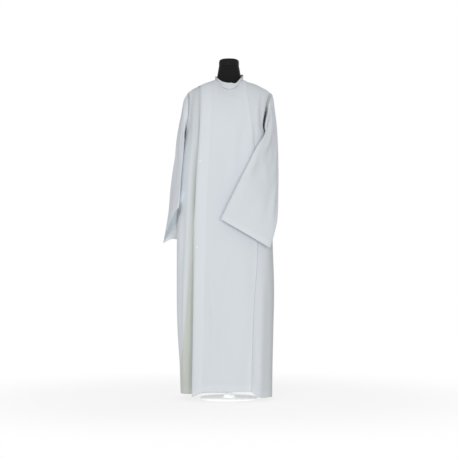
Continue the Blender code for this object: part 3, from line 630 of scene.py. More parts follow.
rightFront = {
    # columns: how many from the side to the valley, over it to the wrap edge, on to the
    # neckline, along it, and how many of those are built
    "side": 30,
    "valley": 12,
    "lap": 6,
    "neck": 24,
    "past": 12,
    "beside": 0.022,          # from the wrap edge back to the evenly spaced columns of the side
    "under": (-0.026, -0.006),    # from the wrap edge, where this front goes under the left one,
    "creasesEnd": (-0.012, 0.0),  # and where its creases end
    "sideCalm": 0.12,         # angle over which all depth ends at the side
    "shade": Table(           # the painted shade beside the wrap edge: where it starts, how dark it is, how dark its last strip is on top of that, and how warm it is
        # how dark its last strip is on top of that, and how warm it is
        "z      start   dark   strip  warm",
        (0.000, -0.217, 0.21, 0.02, 1.0),
        (0.136, -0.214, 0.19, 0.02, 1.0),
        (0.356, -0.196, 0.12, 0.02, 1.0),
        (0.576, -0.181, 0.12, 0.02, 1.0),
        (0.720, -0.175, 0.10, 0.02, 1.0),
        (0.900, -0.167, 0.05, 0.00, 0.8),
        (1.080, -0.156, 0.08, 0.03, 0.6),
        (1.200, -0.144, 0.09, 0.09, 0.3),
        (1.270, -0.140, 0.00, 0.11, 0.1)),
    "shadeSoft": (0.004, 0.006),  # half the width of its border, and of its warmth's
    "shadeLess": (0.6, -0.016, -0.001),   # share that it loses up to the wrap edge, and where
    "strip": (-0.045, -0.025),    # from the wrap edge, where its last strip starts
    "crack": (0.22, 0.16),    # painted light on the last of it: how much lighter it is drawn, and how much it glows
    "crackFrom": (-0.020, -0.009),
    "crackTop": (0.75, 0.90),
    "sideLit": 0.22,          # painted light: how much lighter the cloth at the side is drawn
    "sideEnd": (-0.215, -0.192),
    "sideTop": (0.75, 0.95),
    "sideGlow": 0.07,         # painted light: a glow on the cloth at the side, where the sleeve lies on it
    "glowHeights": (0.85, 0.92, 1.13, 1.19),
    "glowWide": (0.015, 0.030),
    "creases": (
        (-0.190, 0.720, -0.196, 0.300, 0.012, -0.0030, 0.01),
        (-0.212, 0.520, -0.210, 0.080, 0.010, 0.0034, 0.01),
        (-0.176, 1.330, -0.178, 1.180, 0.010, 0.0022, 0.02),
        (-0.155, 1.380, -0.158, 1.150, 0.009, -0.0016, 0.01),
        (-0.200, 0.260, -0.196, 0.020, 0.010, -0.0040, 0.02),
    ),
}


def rightFrontDepth(values, x, z):
    # The valley beside the wrap edge, and the way down under the left front.
    beside = np.clip(np.abs(x - valleyTable.at("middle", z)) / valleyTable.at("half", z), 0.0, 1.0)
    valley = valleyTable.at("deep", z) * (0.5 + 0.5 * np.cos(math.pi * beside))
    under = valleyTable.at("under", z) * smooth(*values["under"], x - wrapTable.at("edge", z))
    return np.sqrt(valley * valley + under * under)


def rightFrontPaintedShading(values, x, z, edge):
    # Painted shade and light: how much darker the cloth is drawn, how much it is drawn to glow, and how warm
    # its painted shade is.
    shade, off = values["shade"], x - edge
    start = shade.at("start", z)
    darkSoft, warmSoft = values["shadeSoft"]
    less, lessFrom, lessTo = values["shadeLess"]
    lighter, paintedGlow = values["crack"]
    crack = smooth(*values["crackFrom"], off) * (1 - smooth(*values["crackTop"], z))
    side = (1 - smooth(*values["sideEnd"], x)) * (1 - smooth(*values["sideTop"], z))
    # Painted shade beside the wrap edge, with less of it at the crack and the side, which get painted light.
    dark = shade.at("dark", z) * smooth(start - darkSoft, start + darkSoft, x)
    dark = dark * (1 - less * smooth(lessFrom, lessTo, off)) - lighter * crack - values["sideLit"] * side
    dark = dark + shade.at("strip", z) * smooth(*values["strip"], off)
    glow = band(values["glowHeights"], z) * (1 - smooth(*values["glowWide"], x - x[0]))
    warm = shade.at("warm", z) * smooth(start - warmSoft, start + warmSoft, x)
    return dark, values["sideGlow"] * glow + paintedGlow * crack, warm


def buildRightFront(values):
    face, hem = frontFace, "right_front"
    rows, paintedShading = [], []
    for share in frontShares:
        edge, z = settle(face, hem, share, lambda z: wrapTable.at("edge", z))
        end = panelEnd(face, "right_front", hem, share)
        beside = edge - values["beside"]
        neckLeft, neckRight, crowd = neckLines(share)
        places = np.concatenate([
            spread(beside, edge, values["valley"]), spread(edge, neckLeft, values["lap"]),
            spread(neckLeft, neckRight, values["neck"], crowd)[:values["past"]]])
        angles = np.concatenate([
            spread(end, angleOf(beside, z), values["side"]),
            angleOf(places, height(face, hem, places, share))])
        levels = height(face, hem, placeOf(angles, z), share)
        x = placeOf(angles, levels)
        creases = creaseDepth(values["creases"], x, levels) * (1 - smooth(*values["creasesEnd"], x - edge))
        depths = rightFrontDepth(values, x, levels) + creases
        depths = depths * smooth(0.0, values["sideCalm"], angles - end)
        paintedShading.append(rightFrontPaintedShading(values, x, levels, edge))
        rows.append(onBody(face, hem, angles, np.full_like(angles, share), depths))
    points = np.array(rows)
    dark, glow, warm = np.swapaxes(np.array(paintedShading), 0, 1)
    across, up = runLengths(points, 1), runLengths(points, 0)
    maps = {"edges": (up, across[:, -1:] - across), "folds": (np.full_like(up, farOff), warm),
            "paintedShading": (dark, glow)}
    return clothPiece("rightFront", points, maps), sheetArea(points)


backPanel = {
    "side": 30,               # columns from each side to the neckline,
    "neck": 30,               # and along it
    "sideCalm": 0.06,         # angle over which the creases end at each side
    "topCalm": (0.94, 1.0),   # and share of the height over which they end at the top
    "dipAcross": (-0.016, 0.0, 0.003, 0.045),     # from the pleat's fold, where the top edge dips
    "dipRows": (0.90, 1.0),   # and share of the height over which it does
    "creases": (
        (-0.030, 0.900, -0.034, 0.100, 0.022, 0.0050, 0.01),
        (0.052, 1.100, 0.060, 0.350, 0.018, -0.0040, 0.02),
        (0.004, 1.330, 0.006, 0.980, 0.016, -0.0022, 0.01),
        (-0.090, 1.250, -0.110, 0.700, 0.020, 0.0036, 0.03),
        (0.110, 0.780, 0.120, 0.060, 0.020, 0.0048, -0.02),
        (-0.140, 0.620, -0.150, 0.040, 0.018, -0.0044, 0.02),
        (0.120, 1.350, 0.090, 1.180, 0.014, 0.0026, 0.05),
        (-0.120, 1.355, -0.086, 1.200, 0.014, 0.0026, -0.05),
        (-0.045, 1.425, 0.048, 1.424, 0.006, 0.0012, 0.08),
        (0.020, 0.520, 0.024, 0.060, 0.014, -0.0030, 0.00),
        (0.160, 0.900, 0.166, 0.300, 0.014, -0.0030, 0.01),
    ),
}


def shoulderDip(values, x, share):
    # The back's top edge goes down with the pleat where both are sewn into the shoulder.
    z = shoulderTable.at("back", x)
    turn = np.maximum(wrapTable.at("turn", z) * leftFront["turns"][1], leftFront["turnLeast"])
    across = band(values["dipAcross"], x - wrapTable.at("pleat", z))
    return 4 * turn * across * smooth(*values["dipRows"], share)


def buildBack(values):
    face, hem = backFace, "back"
    wide = values["sideCalm"]
    rows = []
    for share in backShares:
        first = panelEnd(face, "right_back", hem, share)
        last = panelEnd(face, "left_back", hem, share)
        neckLeft, neckRight, crowd = neckLines(share)
        neck = np.append(spread(neckLeft, neckRight, values["neck"], crowd), neckRight)
        middle = angleOf(neck, height(face, hem, neck, share))
        angles = np.concatenate([
            spread(first, middle[0], values["side"]), middle,
            spread(last, middle[-1], values["side"])[::-1]])
        levels = height(face, hem, placeOf(angles, height(face, hem, 0.0, share)), share)
        x = placeOf(angles, levels)
        calm = smooth(0.0, wide, angles - first) * smooth(0.0, wide, last - angles)
        calm = calm * (1 - smooth(*values["topCalm"], share))
        depths = folds(face, angles, levels) + shoulderDip(values, x, share)
        depths = depths + creaseDepth(values["creases"], x, levels) * calm
        rows.append(onBody(face, hem, angles, np.full_like(angles, share), depths))
    points = np.array(rows)
    up = runLengths(points, 0)
    none = np.full_like(up, farOff)
    return clothPiece("backPanel", points, {"edges": (up, none)}, flip=True), sheetArea(points)


# The sleeves. Creases run across the over-arm layer from its fore edge, and then the under-arm
# one, and down from the armhole.
leftSleeve = {
    "side": "left",
    "table": leftSleeveTable,
    "twist": 0.18,            # round the armhole from the armpit up its front, where the fore edge starts
    "rows": 92,
    "headDeep": 0.034,        # of the valley behind the front of the seam
    "crevice": {              # painted shade in the crevice beside the seam; round that, from the armpit up its front
        "around": (0.10, 0.17, 0.47, 0.55),
        "dark": (0.72, 0.30), # at its start and its end, and where between them it changes
        "darkAround": (0.22, 0.49),
        "reach": 0.070,       # down the sleeve,
        "narrow": 0.45,       # and how much of that is lost towards its end
        "narrowAround": (0.20, 0.43),
    },
    "creases": (
        (0.060, 0.020, 0.050, 0.190, 0.010, -0.0034, 0.04),
        (0.105, 0.010, 0.085, 0.230, 0.014, 0.0046, 0.05),
        (0.150, 0.060, 0.110, 0.300, 0.013, 0.0034, -0.06),
        (0.190, 0.120, 0.170, 0.380, 0.016, 0.0030, 0.04),
        (0.135, 0.220, 0.100, 0.300, 0.018, -0.0034, 0.04),
        (0.110, 0.300, 0.095, 0.400, 0.020, -0.0036, 0.00),
        (0.060, 0.260, 0.050, 0.420, 0.014, 0.0022, 0.03),
        (0.210, 0.330, 0.190, 0.560, 0.014, 0.0034, -0.03),
        (0.150, 0.420, 0.130, 0.610, 0.018, 0.0022, 0.03),
        (0.040, 0.430, 0.030, 0.560, 0.016, -0.0026, 0.02),
        (0.400, 0.050, 0.380, 0.300, 0.016, 0.0030, 0.03),
        (0.330, 0.200, 0.320, 0.500, 0.018, 0.0026, 0.00),
    ),
}
rightSleeve = {
    "side": "right",
    "table": rightSleeveTable,
    "twist": 0.25,
    "rows": 86,
    "headDeep": 0.0,
    "crevice": {
        "around": (0.02, 0.09, 0.42, 0.50),
        "dark": (0.45, 0.38),
        "darkAround": (0.14, 0.44),
        "reach": 0.014,
        "narrow": 0.0,
        "narrowAround": (0.12, 0.38),
    },
    "cuff": {                 # painted shade and light in the cuff, which stands open, and along the sleeve; rows are down the sleeve, around is in half turns
        "layer": (1.0, 1.04), # around, where its under-arm layer starts
        "rows": (0.70, 0.80),
        "warm": 0.25,
        "dark": (0.1125, 0.45),   # painted shade in its last rows, away from the body and beside it
        "darkRows": (0.82, 0.90),
        "besideBody": (1.42, 1.62, 1.94, 2.0),
        "glow": (0.238, 0.084),   # painted light, a glow deep inside and at its end
        "glowRows": (0.84, 1.0),
        "glowLost": 0.7,      # share of that which is lost at its end towards the body
        "lostRows": (0.88, 0.96),
        "lostAround": (1.35, 1.60),
        "foreDark": 0.30,     # painted shade along the sleeve's fore edge
        "foreWide": 0.10,
        "foreRows": (0.10, 0.20),
        "lit": 0.18,          # painted light: how much lighter the whole sleeve is drawn below its head
        "litRows": (0.10, 0.45),
    },
    "creases": (
        (0.060, 0.030, 0.070, 0.260, 0.012, 0.0030, 0.02),
        (0.110, 0.010, 0.110, 0.220, 0.014, -0.0034, 0.03),
        (0.150, 0.060, 0.140, 0.420, 0.014, 0.0038, -0.03),
        (0.040, 0.240, 0.050, 0.520, 0.012, -0.0024, 0.02),
        (0.200, 0.160, 0.180, 0.480, 0.016, 0.0034, 0.02),
        (0.100, 0.330, 0.095, 0.560, 0.018, 0.0026, 0.03),
        (0.330, 0.080, 0.330, 0.400, 0.018, 0.0030, 0.02),
        (0.420, 0.100, 0.400, 0.450, 0.016, -0.0028, 0.00),
    ),
}
sleeveForm = {            # both sleeves; lengths down them are shares, unless in metres
    "hem": 0.030,
    "creviceSoft": 0.75,      # part of the crevice's reach before it fades
    "cuffRows": (0.058, 0.052, 0.047, 0.043, 0.038, 0.028, 0.016, 0.008, 0.004, 0.0016, 0.0),
    "headShare": 0.30,        # part of a sleeve over which the armhole's shape fades out
    "headOut": 0.16,          # the same across the body: the cloth leaves the seam outwards
    "gap": 0.0008,            # from the body's edge to the sleeve's, along X
    "inside": 0.0004,         # and towards the middle of the armhole
    "valley": (0.0, 0.022, 0.022, 0.065),     # down the sleeve, the valley at its head
    "ridge": (0.022, 0.070, 0.070, 0.170),    # and the fold beyond it,
    "ridgeHigh": 0.4,         # as high as this share of the valley's depth
    "headAround": (0.15, 0.25, 0.32, 0.52),   # both are here round the ring, a quarter on
    "creaseEnds": 0.05,       # over which creases end at the seam and the cuff,
    "creaseCuff": 0.012,      # this far past its edge,
    "creaseSides": 0.02,      # and at both folded edges
}


def headFold(deep, share, turn):
    # Behind the front of the seam a sleeve's head drops into a valley, and beyond it stands
    # forward in the fold that hangs from the shoulder.
    valley = band(sleeveForm["valley"], share)
    ridge = sleeveForm["ridgeHigh"] * band(sleeveForm["ridge"], share)
    return deep * (valley - ridge) * band(sleeveForm["headAround"], (turn / (2 * math.pi) + 0.25) % 1.0)


def crevicePaintedShade(values, around, at):
    # Painted shade in the crevice beside the armhole's seam: around is round it, at is down the sleeve.
    low, high = values["dark"]
    dark = low + (high - low) * smooth(*values["darkAround"], around)
    reach = values["reach"] * (1 - values["narrow"] * smooth(*values["narrowAround"], around))
    fade = 1 - smooth(sleeveForm["creviceSoft"] * reach, reach, at)
    return dark * fade * band(values["around"], around)


def cuffPaintedShading(values, around, at):
    # Painted shade and light on a sleeve and in its open cuff: how much darker it is drawn, how much it
    # glows, and how warm its painted shade is.
    layer = smooth(*values["layer"], around)
    inside = layer * smooth(*values["rows"], at)
    least, most = values["dark"]
    dark = least + (most - least) * band(values["besideBody"], around)
    dark = dark * layer * smooth(*values["darkRows"], at)
    fore = (1 - smooth(0.0, values["foreWide"], around)) * smooth(*values["foreRows"], at)
    dark = dark + values["foreDark"] * fore - values["lit"] * smooth(*values["litRows"], at)
    deep, end = values["glow"]
    lost = values["glowLost"] * smooth(*values["lostAround"], around) * smooth(*values["lostRows"], at)
    glow = inside * (1 - lost) * (deep + (end - deep) * smooth(*values["glowRows"], at))
    return dark, glow, values["warm"] * inside


def buildSleeve(values):
    side, table, form = values["side"], values["table"], sleeveForm
    loop = armholeLoop(side, frontShares, backShares)
    steps = np.linalg.norm(loop - np.roll(loop, 1, axis=0), axis=1)
    around = (np.cumsum(steps) - steps[0]) / steps.sum()
    turn = 2 * math.pi * ((around - values["twist"]) % 1.0)
    inwards = loop.mean(axis=0) - loop
    inwards[:, 0] = 0.0
    inwards /= np.linalg.norm(inwards, axis=1, keepdims=True)
    out = np.array([form["gap"] if side == "left" else -form["gap"], 0.0, 0.0])
    seam = loop + out + form["inside"] * inwards - sleeveRing(table, 0.0, turn)
    fades = np.array([form["headOut"], form["headShare"], form["headShare"]])
    cuff = 1.0 - np.array(form["cuffRows"])
    shares = np.concatenate([spread(0.0, cuff[0], values["rows"]), cuff])
    back = np.array([0.0, 1.0, 0.0])
    points = np.array([
        sleeveRing(table, share, turn) + seam * (1 - smooth(0.0, fades, share))
        + headFold(values["headDeep"], share, turn)[:, None] * back for share in shares])
    flip = side == "right"
    normals = ringNormals(points) * (-1 if flip else 1)
    down = runLengths(points, 0).mean(axis=1)
    a, s = np.meshgrid(turn / (4 * math.pi), down)
    ends, sides = form["creaseEnds"], form["creaseSides"]
    depth = creaseDepth(values["creases"], a, s)
    depth *= smooth(0.0, ends, s) * smooth(0.0, ends, down[-1] - s + form["creaseCuff"])
    depth *= smooth(0.0, sides, np.minimum(a, 0.5 - a)) * smooth(0.0, sides, np.abs(a - 0.25))
    points = points - normals * depth[..., None]
    wrapped = np.concatenate([points, points[:, :1]], axis=1)
    up = runLengths(wrapped[::-1], 0)[::-1] * (drawnHem / form["hem"])
    none, zero = np.full_like(up, farOff), np.zeros_like(up)
    halves, at = np.meshgrid(np.append(turn, turn[0]) / math.pi, shares)
    # Painted shade and light: in the cuff, along the sleeve and in the crevice at its seam.
    dark, glow, warm = cuffPaintedShading(values["cuff"], halves, at) if "cuff" in values else (zero, zero, zero)
    dark = dark + crevicePaintedShade(values["crevice"], np.append(around, 1.0), at)
    maps = {"edges": (up, none), "folds": (none, warm), "paintedShading": (dark, glow)}
    piece = clothPiece(side + "Sleeve", points, maps, closed=True, flip=flip)
    return piece, sheetArea(points, True)


collar = {
    "tall": 0.029,
    "drop": 0.42,                  # part of its height that it loses at its ends
    "dropFrom": (0.35, 1.0),       # sideways, as shares of the neck's half width
    "dips": (0.12, 0.42),          # and beside the middle of the front, right and left
    "dipsFrom": (0.05, 0.55),      # sideways
    "dipsAhead": (-0.45, 0.10),    # and forwards
    "start": math.radians(-105),   # its inner end, from the middle of the front
    "steps": 48,                   # columns to each half of the neck
    "lap": 8,                      # columns by which its outer end laps over the inner one
    "lapOut": 0.0028,              # how far out that end lies
    "lapFrom": (-0.25, 0.02),      # angle over which it gets there, from where the lap starts
    "rows": (0.0, 0.02, 0.06, 0.12, 0.17, 0.22, 0.35, 0.5, 0.65, 0.78, 0.83, 0.88, 0.94, 0.98, 1.0),
    "above": 0.0014,               # its lower edge over the neckline
    "flare": 0.0012,               # how far its rim leans out all round
    "lean": 0.0035,                # and in, at the front and the back
    "shift": 0.0030,               # how far its rim lies to the wearer's left at the back
    "shiftFrom": (0.2, -0.9),
    "wall": 0.0016,
    "edgeFrom": 0.0015,            # start of the distance from its edges: less of their painted dark rim is drawn
    # painted shade over the whole collar
    "dark": 0.12,
}


def buildCollar(values):
    steps, fullTurn = values["steps"], 2 * math.pi
    turn = math.pi * (np.arange(2 * steps + values["lap"] + 1) / steps) + values["start"]
    sideways, ahead = np.sin(turn), np.cos(turn)
    lapFrom, lapTo = values["lapFrom"]
    base = neckline(turn)
    over = values["lapOut"] * smooth(fullTurn + lapFrom, fullTurn + lapTo, turn - values["start"])
    radial = np.stack([sideways, -ahead, 0 * turn], axis=-1)
    dips = np.where(sideways > 0, values["dips"][1], values["dips"][0])
    slump = values["drop"] * smooth(*values["dropFrom"], -sideways)
    slump += dips * smooth(*values["dipsFrom"], np.abs(sideways)) * smooth(*values["dipsAhead"], ahead)
    shift = np.array([values["shift"], 0.0, 0.0]) * smooth(*values["shiftFrom"], ahead)[:, None]
    rows = []
    for share in values["rows"]:
        rise = values["above"] + share * values["tall"] * (1 - slump)
        lean = share * (values["flare"] - values["lean"] * ahead ** 2)
        lifted = rise[:, None] * np.array([0.0, 0.0, 1.0])
        rows.append(base + radial * (lean + over)[:, None] + shift * share + lifted)
    points = np.array(rows)
    up = runLengths(points, 0)
    none = np.full_like(up, farOff)
    maps = {"edges": (none, np.minimum(up[-1:] - up, up) + values["edgeFrom"]),
            "paintedShading": (np.full_like(up, values["dark"]), np.zeros_like(up))}
    return clothPiece("collarBand", points, maps, wall=values["wall"]), sheetArea(points)


# The dress form, its stand and the buttons
formLook = {
    "levels": 2,              # of smoothing over the form's own sections
    "cover": (0.0095, 0.0097, 0.0100),
    "coverRough": 0.80,
    "cap": (0.0105, 0.0107, 0.0110),
    "capRough": 0.70,
    "knit": 0.0011,           # pitch of the cover's knit
    "knitDeep": 0.0003,
    "tones": (0.88, 0.16, 0.08),      # all over, in clouds and in the knit
    "sheen": 0.05,
}


def smoothCopy(node, name, levels):
    # A smooth piece with the node's own shape and its hard end edges.
    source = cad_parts[node]
    piece = source.copy()
    piece.data = source.data.copy()
    piece.name = name
    bpy.context.scene.collection.objects.link(piece)
    bpy.ops.object.select_all(action="DESELECT")
    bpy.context.view_layer.objects.active = piece
    piece.select_set(True)
    bpy.ops.object.mode_set(mode="EDIT")
    bpy.ops.mesh.select_all(action="SELECT")
    bpy.ops.mesh.remove_doubles(threshold=0.00005)
    bpy.ops.mesh.tris_convert_to_quads(face_threshold=math.radians(40), shape_threshold=math.radians(60))
    bpy.ops.mesh.select_all(action="DESELECT")
    bpy.ops.mesh.edges_select_sharp(sharpness=math.radians(50))
    bpy.ops.transform.edge_crease(value=0.9)
    bpy.ops.mesh.select_all(action="SELECT")
    bpy.ops.mesh.normals_make_consistent(inside=False)
    bpy.ops.object.mode_set(mode="OBJECT")
    if levels:
        finer = piece.modifiers.new("smooth", "SUBSURF")
        finer.levels = levels
        finer.render_levels = levels
        bpy.ops.object.modifier_apply(modifier="smooth")
    bpy.ops.object.shade_smooth_by_angle(angle=math.radians(40))
    return piece


buttons = {
    "wide": 0.012,
    "thick": 0.0024,
    "inset": 0.0135,          # from the wrap edge
    "heights": {"buttonUpper": 1.054, "buttonLower": 0.677},
    "hemAt": 0.03,            # height of the hem below them
    "gap": 0.0003,            # from the cloth
    "rim": 0.0013,
    "bevel": 0.4,             # width of the rim's inner slope, as a share of the rim
    "dish": 0.0007,
    "round": 0.0005,
    "holeWide": 0.0013,
    "holeApart": 0.0026,
    "thread": 0.00035,
    "threadSpan": 1.45,       # its length, times the holes' distance
    "threadUp": {-45: 1.0, 45: 1.9},      # how high each of the crossed threads lies, in its own radius
    "color": (0.88, 0.89, 0.90),
    "rough": 0.26,
    "coat": 0.3,
    "coatRough": 0.12,
    "cloud": (0.93, 0.14),    # its tone, and how much that varies
}


def makeButton(name, z, values):
    # A round sew-through button with a raised rim, four holes and crossed thread.
    share = lowShare * (z - values["hemAt"]) / (frontTurn - values["hemAt"])
    x = wrapTable.at("edge", z) + values["inset"]
    angle, share = np.array(angleOf(x, z)), np.array(share)
    into = inward(frontFace, "left_front", angle, share)
    centre = bodyPoint(frontFace, "left_front", angle, share) - into * (clothWall / 2 + values["gap"])
    radius, thick, dish = values["wide"] / 2, values["thick"], values["dish"]
    bpy.ops.object.select_all(action="DESELECT")
    bpy.ops.mesh.primitive_cylinder_add(vertices=48, radius=radius, depth=thick, location=(0, 0, thick / 2))
    disc = bpy.context.object
    disc.name = name
    bpy.ops.object.transform_apply(location=True, rotation=False, scale=False)
    bpy.ops.object.mode_set(mode="EDIT")
    bpy.ops.mesh.select_all(action="DESELECT")
    bpy.ops.object.mode_set(mode="OBJECT")
    for polygon in disc.data.polygons:
        polygon.select = polygon.normal.z > 0.9
    bpy.ops.object.mode_set(mode="EDIT")
    bpy.ops.mesh.inset(thickness=values["rim"], depth=0.0)
    bpy.ops.mesh.inset(thickness=values["rim"] * values["bevel"], depth=-dish)
    bpy.ops.object.mode_set(mode="OBJECT")
    apart = values["holeApart"] / 2
    for side, up in ((-1, -1), (1, -1), (1, 1), (-1, 1)):
        bpy.ops.mesh.primitive_cylinder_add(
            vertices=16, radius=values["holeWide"] / 2, depth=thick * 3,
            location=(side * apart, up * apart, 0))
        drill = bpy.context.object
        cut = disc.modifiers.new("hole", "BOOLEAN")
        cut.operation = "DIFFERENCE"
        cut.object = drill
        bpy.context.view_layer.objects.active = disc
        bpy.ops.object.modifier_apply(modifier="hole")
        bpy.data.objects.remove(drill)
    soften = disc.modifiers.new("round", "BEVEL")
    soften.width = values["round"]
    soften.segments = 3
    soften.limit_method = "ANGLE"
    soften.angle_limit = math.radians(50)
    bpy.context.view_layer.objects.active = disc
    bpy.ops.object.modifier_apply(modifier="round")
    threads = []
    for lean, up in values["threadUp"].items():
        bpy.ops.mesh.primitive_cylinder_add(
            vertices=10, radius=values["thread"], depth=values["holeApart"] * values["threadSpan"],
            location=(0, 0, thick - dish + values["thread"] * up),
            rotation=(math.radians(90), 0, math.radians(lean)))
        threads.append(bpy.context.object)
        bpy.ops.object.transform_apply(location=True, rotation=True, scale=True)
    bpy.ops.object.select_all(action="DESELECT")
    for thing in threads + [disc]:
        thing.select_set(True)
    bpy.context.view_layer.objects.active = disc
    bpy.ops.object.join()
    bpy.ops.object.shade_smooth_by_angle(angle=math.radians(35))
    disc.rotation_mode = "QUATERNION"
    disc.rotation_quaternion = Vector(-into).to_track_quat("Z", "Y")
    disc.location = Vector(centre)
    bpy.ops.object.transform_apply(location=True, rotation=True, scale=True)
    return disc


class Wire:
    # One socket of a material; sums and products of wires add the nodes that they need.
    def __init__(self, look, socket):
        self.look, self.socket = look, socket

    def math(self, operation, *others):
        inputs = {number: value for number, value in enumerate((self,) + others)}
        return self.look.add("ShaderNodeMath", {"operation": operation}, inputs)

    def flipped(self, operation, other):
        return self.look.add("ShaderNodeMath", {"operation": operation}, {0: other, 1: self})

    def __add__(self, other):
        return self.math("ADD", other)

    def __radd__(self, other):
        return self.math("ADD", other)

    def __sub__(self, other):
        return self.math("SUBTRACT", other)

    def __rsub__(self, other):
        return self.flipped("SUBTRACT", other)

    def __mul__(self, other):
        return self.math("MULTIPLY", other)

    def __rmul__(self, other):
        return self.math("MULTIPLY", other)

    def sine(self):
        return self.math("SINE")

    def within(self, low, high, soft):
        # 1 between low and high, 0 outside, with soft borders.
        return self.step(low, soft) * (1.0 - self.step(high, soft))

    def step(self, at, soft):
        settings = {"interpolation_type": "SMOOTHSTEP"}
        inputs = {"Value": self, "From Min": at - soft, "From Max": at + soft}
        return self.look.add("ShaderNodeMapRange", settings, inputs)


class Look:
    def __init__(self, name):
        self.material = bpy.data.materials.new(name)
        self.material.use_nodes = True
        self.nodes = self.material.node_tree.nodes
        self.nodes.clear()

    def add(self, kind, settings=None, inputs=None, output=0):
        node = self.nodes.new(kind)
        for name, value in (settings or {}).items():
            setattr(node, name, value)
        for key, value in (inputs or {}).items():
            if isinstance(value, Wire):
                self.material.node_tree.links.new(value.socket, node.inputs[key])
            else:
                node.inputs[key].default_value = value
        return Wire(self, node.outputs[output]) if len(node.outputs) else None

    def uv(self, name):
        return self.add("ShaderNodeUVMap", {"uv_map": name})

    def parts(self, vector):
        return [self.add("ShaderNodeSeparateXYZ", None, {0: vector}, axis) for axis in "XY"]

    def place(self):
        return self.add("ShaderNodeTexCoord", None, None, "Object")

    def noise(self, vector, scale, detail=3.0, rough=0.5, stretch=(1.0, 1.0, 1.0)):
        moved = self.add("ShaderNodeMapping", None, {"Vector": vector, "Scale": stretch})
        inputs = {"Vector": moved, "Scale": scale, "Detail": detail, "Roughness": rough}
        return self.add("ShaderNodeTexNoise", None, inputs)

    def shade(self, color, tone):
        # The colour, lighter or darker by the tone.
        inputs = {0: color, "Scale": tone}
        return self.add("ShaderNodeVectorMath", {"operation": "SCALE"}, inputs)

    def bump(self, heightWire, distance, normal=None):
        inputs = {"Height": heightWire, "Distance": distance, "Strength": 1.0}
        if normal:
            inputs["Normal"] = normal
        return self.add("ShaderNodeBump", None, inputs)

    def finish(self, inputs):
        surface = self.add("ShaderNodeBsdfPrincipled", None, inputs)
        self.add("ShaderNodeOutputMaterial", None, {"Surface": surface})
        return self.material


cloth = {
    "color": (0.700, 0.738, 0.778, 1.0),
    "warm": (0.708, 0.740, 0.690, 1.0),   # the colour its painted shade turns to in crevices
    "rough": 0.82,
    "sheen": 0.12,
    "pitch": 0.00085,         # between the threads
    "slubs": (900.0, 2.0, 0.5, (1.0, 0.16, 1.0)),     # each noise: scale, detail, roughness, stretch
    "rolls": (9.0, 4.0, 0.55, (1.0, 1.0, 0.30)),
    "clouds": (3.2, 3.0, 0.5, (1.0, 1.0, 0.5)),
    "cloudTone": 0.045,
    "threadDeep": 0.00006,
    "slubDeep": 0.00016,
    "rollDeep": 0.0011,
    "stitchDeep": 0.00035,
    "stitchTone": 0.05,
    "stitchPitch": 0.0028,
    "dash": (-0.35, 0.25),    # level of the wave above which it is thread, and its soft end
    "rows": (                 # stitches: which map, from where to where in it, border, strength
        ("edge", 0.0060, 0.0070, 0.0003, 1.0),
        ("edge", 0.0500, 0.0510, 0.0003, 0.6),
        ("hem", 0.0300, 0.0312, 0.0003, 1.0)),
    "layersAndPaintedShading": (              # bands: which map, from where to where in it, border, lighter by; double cloth, and painted light and shade
        ("hem", -0.001, 0.0335, 0.0012, 0.030),
        # painted shade at the hem's rolled edge
        ("hem", -0.001, 0.0022, 0.0010, -0.090),
        ("edge", -0.001, 0.0530, 0.0012, 0.042),
        # painted shade at the wrap edge's rolled rim
        ("edge", -0.001, 0.0030, 0.0010, -0.030),
        # painted highlight on the ridge beside the wrap edge
        ("edge", 0.0042, 0.0088, 0.0012, 0.022),
        # painted light along the pleat's fold
        ("fold", -0.001, 0.0050, 0.0016, 0.050)),
}


def clothMaterial(values):
    look = Look("albCloth")
    weaveVector = look.uv("weave")
    across, up = look.parts(weaveVector)
    hem, edge = look.parts(look.uv("edges"))
    fold, warmth = look.parts(look.uv("folds"))
    dark, paintedGlow = look.parts(look.uv("paintedShading"))
    place = look.place()
    turn = 2 * math.pi / values["pitch"]
    weave = (across * turn).sine() * (up * turn).sine()
    slub = look.noise(weaveVector, *values["slubs"])
    roll = look.noise(place, *values["rolls"])
    cloud = look.noise(place, *values["clouds"])
    stitchTurn = 2 * math.pi / values["stitchPitch"]
    dashes = {"edge": (up * stitchTurn).sine().step(*values["dash"]),
              "hem": (across * stitchTurn).sine().step(*values["dash"])}
    lines = {"hem": hem, "edge": edge, "fold": fold}
    stitches = sum(lines[line].within(low, high, soft) * dashes[line] * strength
                   for line, low, high, soft, strength in values["rows"])
    layersAndPaintedShading = sum(lines[line].within(low, high, soft) * lighter
                  for line, low, high, soft, lighter in values["layersAndPaintedShading"])
    tone = 1.0 + (cloud - 0.5) * values["cloudTone"] + layersAndPaintedShading - stitches * values["stitchTone"]
    # Painted shade darkens the colour and warms it; the emission is painted light, a glow in shaded places.
    warmed = look.add("ShaderNodeMix", {"data_type": "RGBA"}, {
        0: dark + warmth, 6: values["color"], 7: values["warm"]}, 2)
    color = look.shade(warmed, tone * (1.0 - dark))
    woven = look.bump(weave, values["threadDeep"])
    woven = look.bump(slub, values["slubDeep"], woven)
    rolled = look.bump(roll, values["rollDeep"], woven)
    return look.finish({
        "Base Color": color, "Roughness": values["rough"],
        "Normal": look.bump(1.0 - stitches, values["stitchDeep"], rolled),
        "Emission Color": look.shade(color, paintedGlow), "Emission Strength": 1.0,
        "Sheen Weight": values["sheen"], "Sheen Roughness": 0.5, "Specular IOR Level": 0.25})


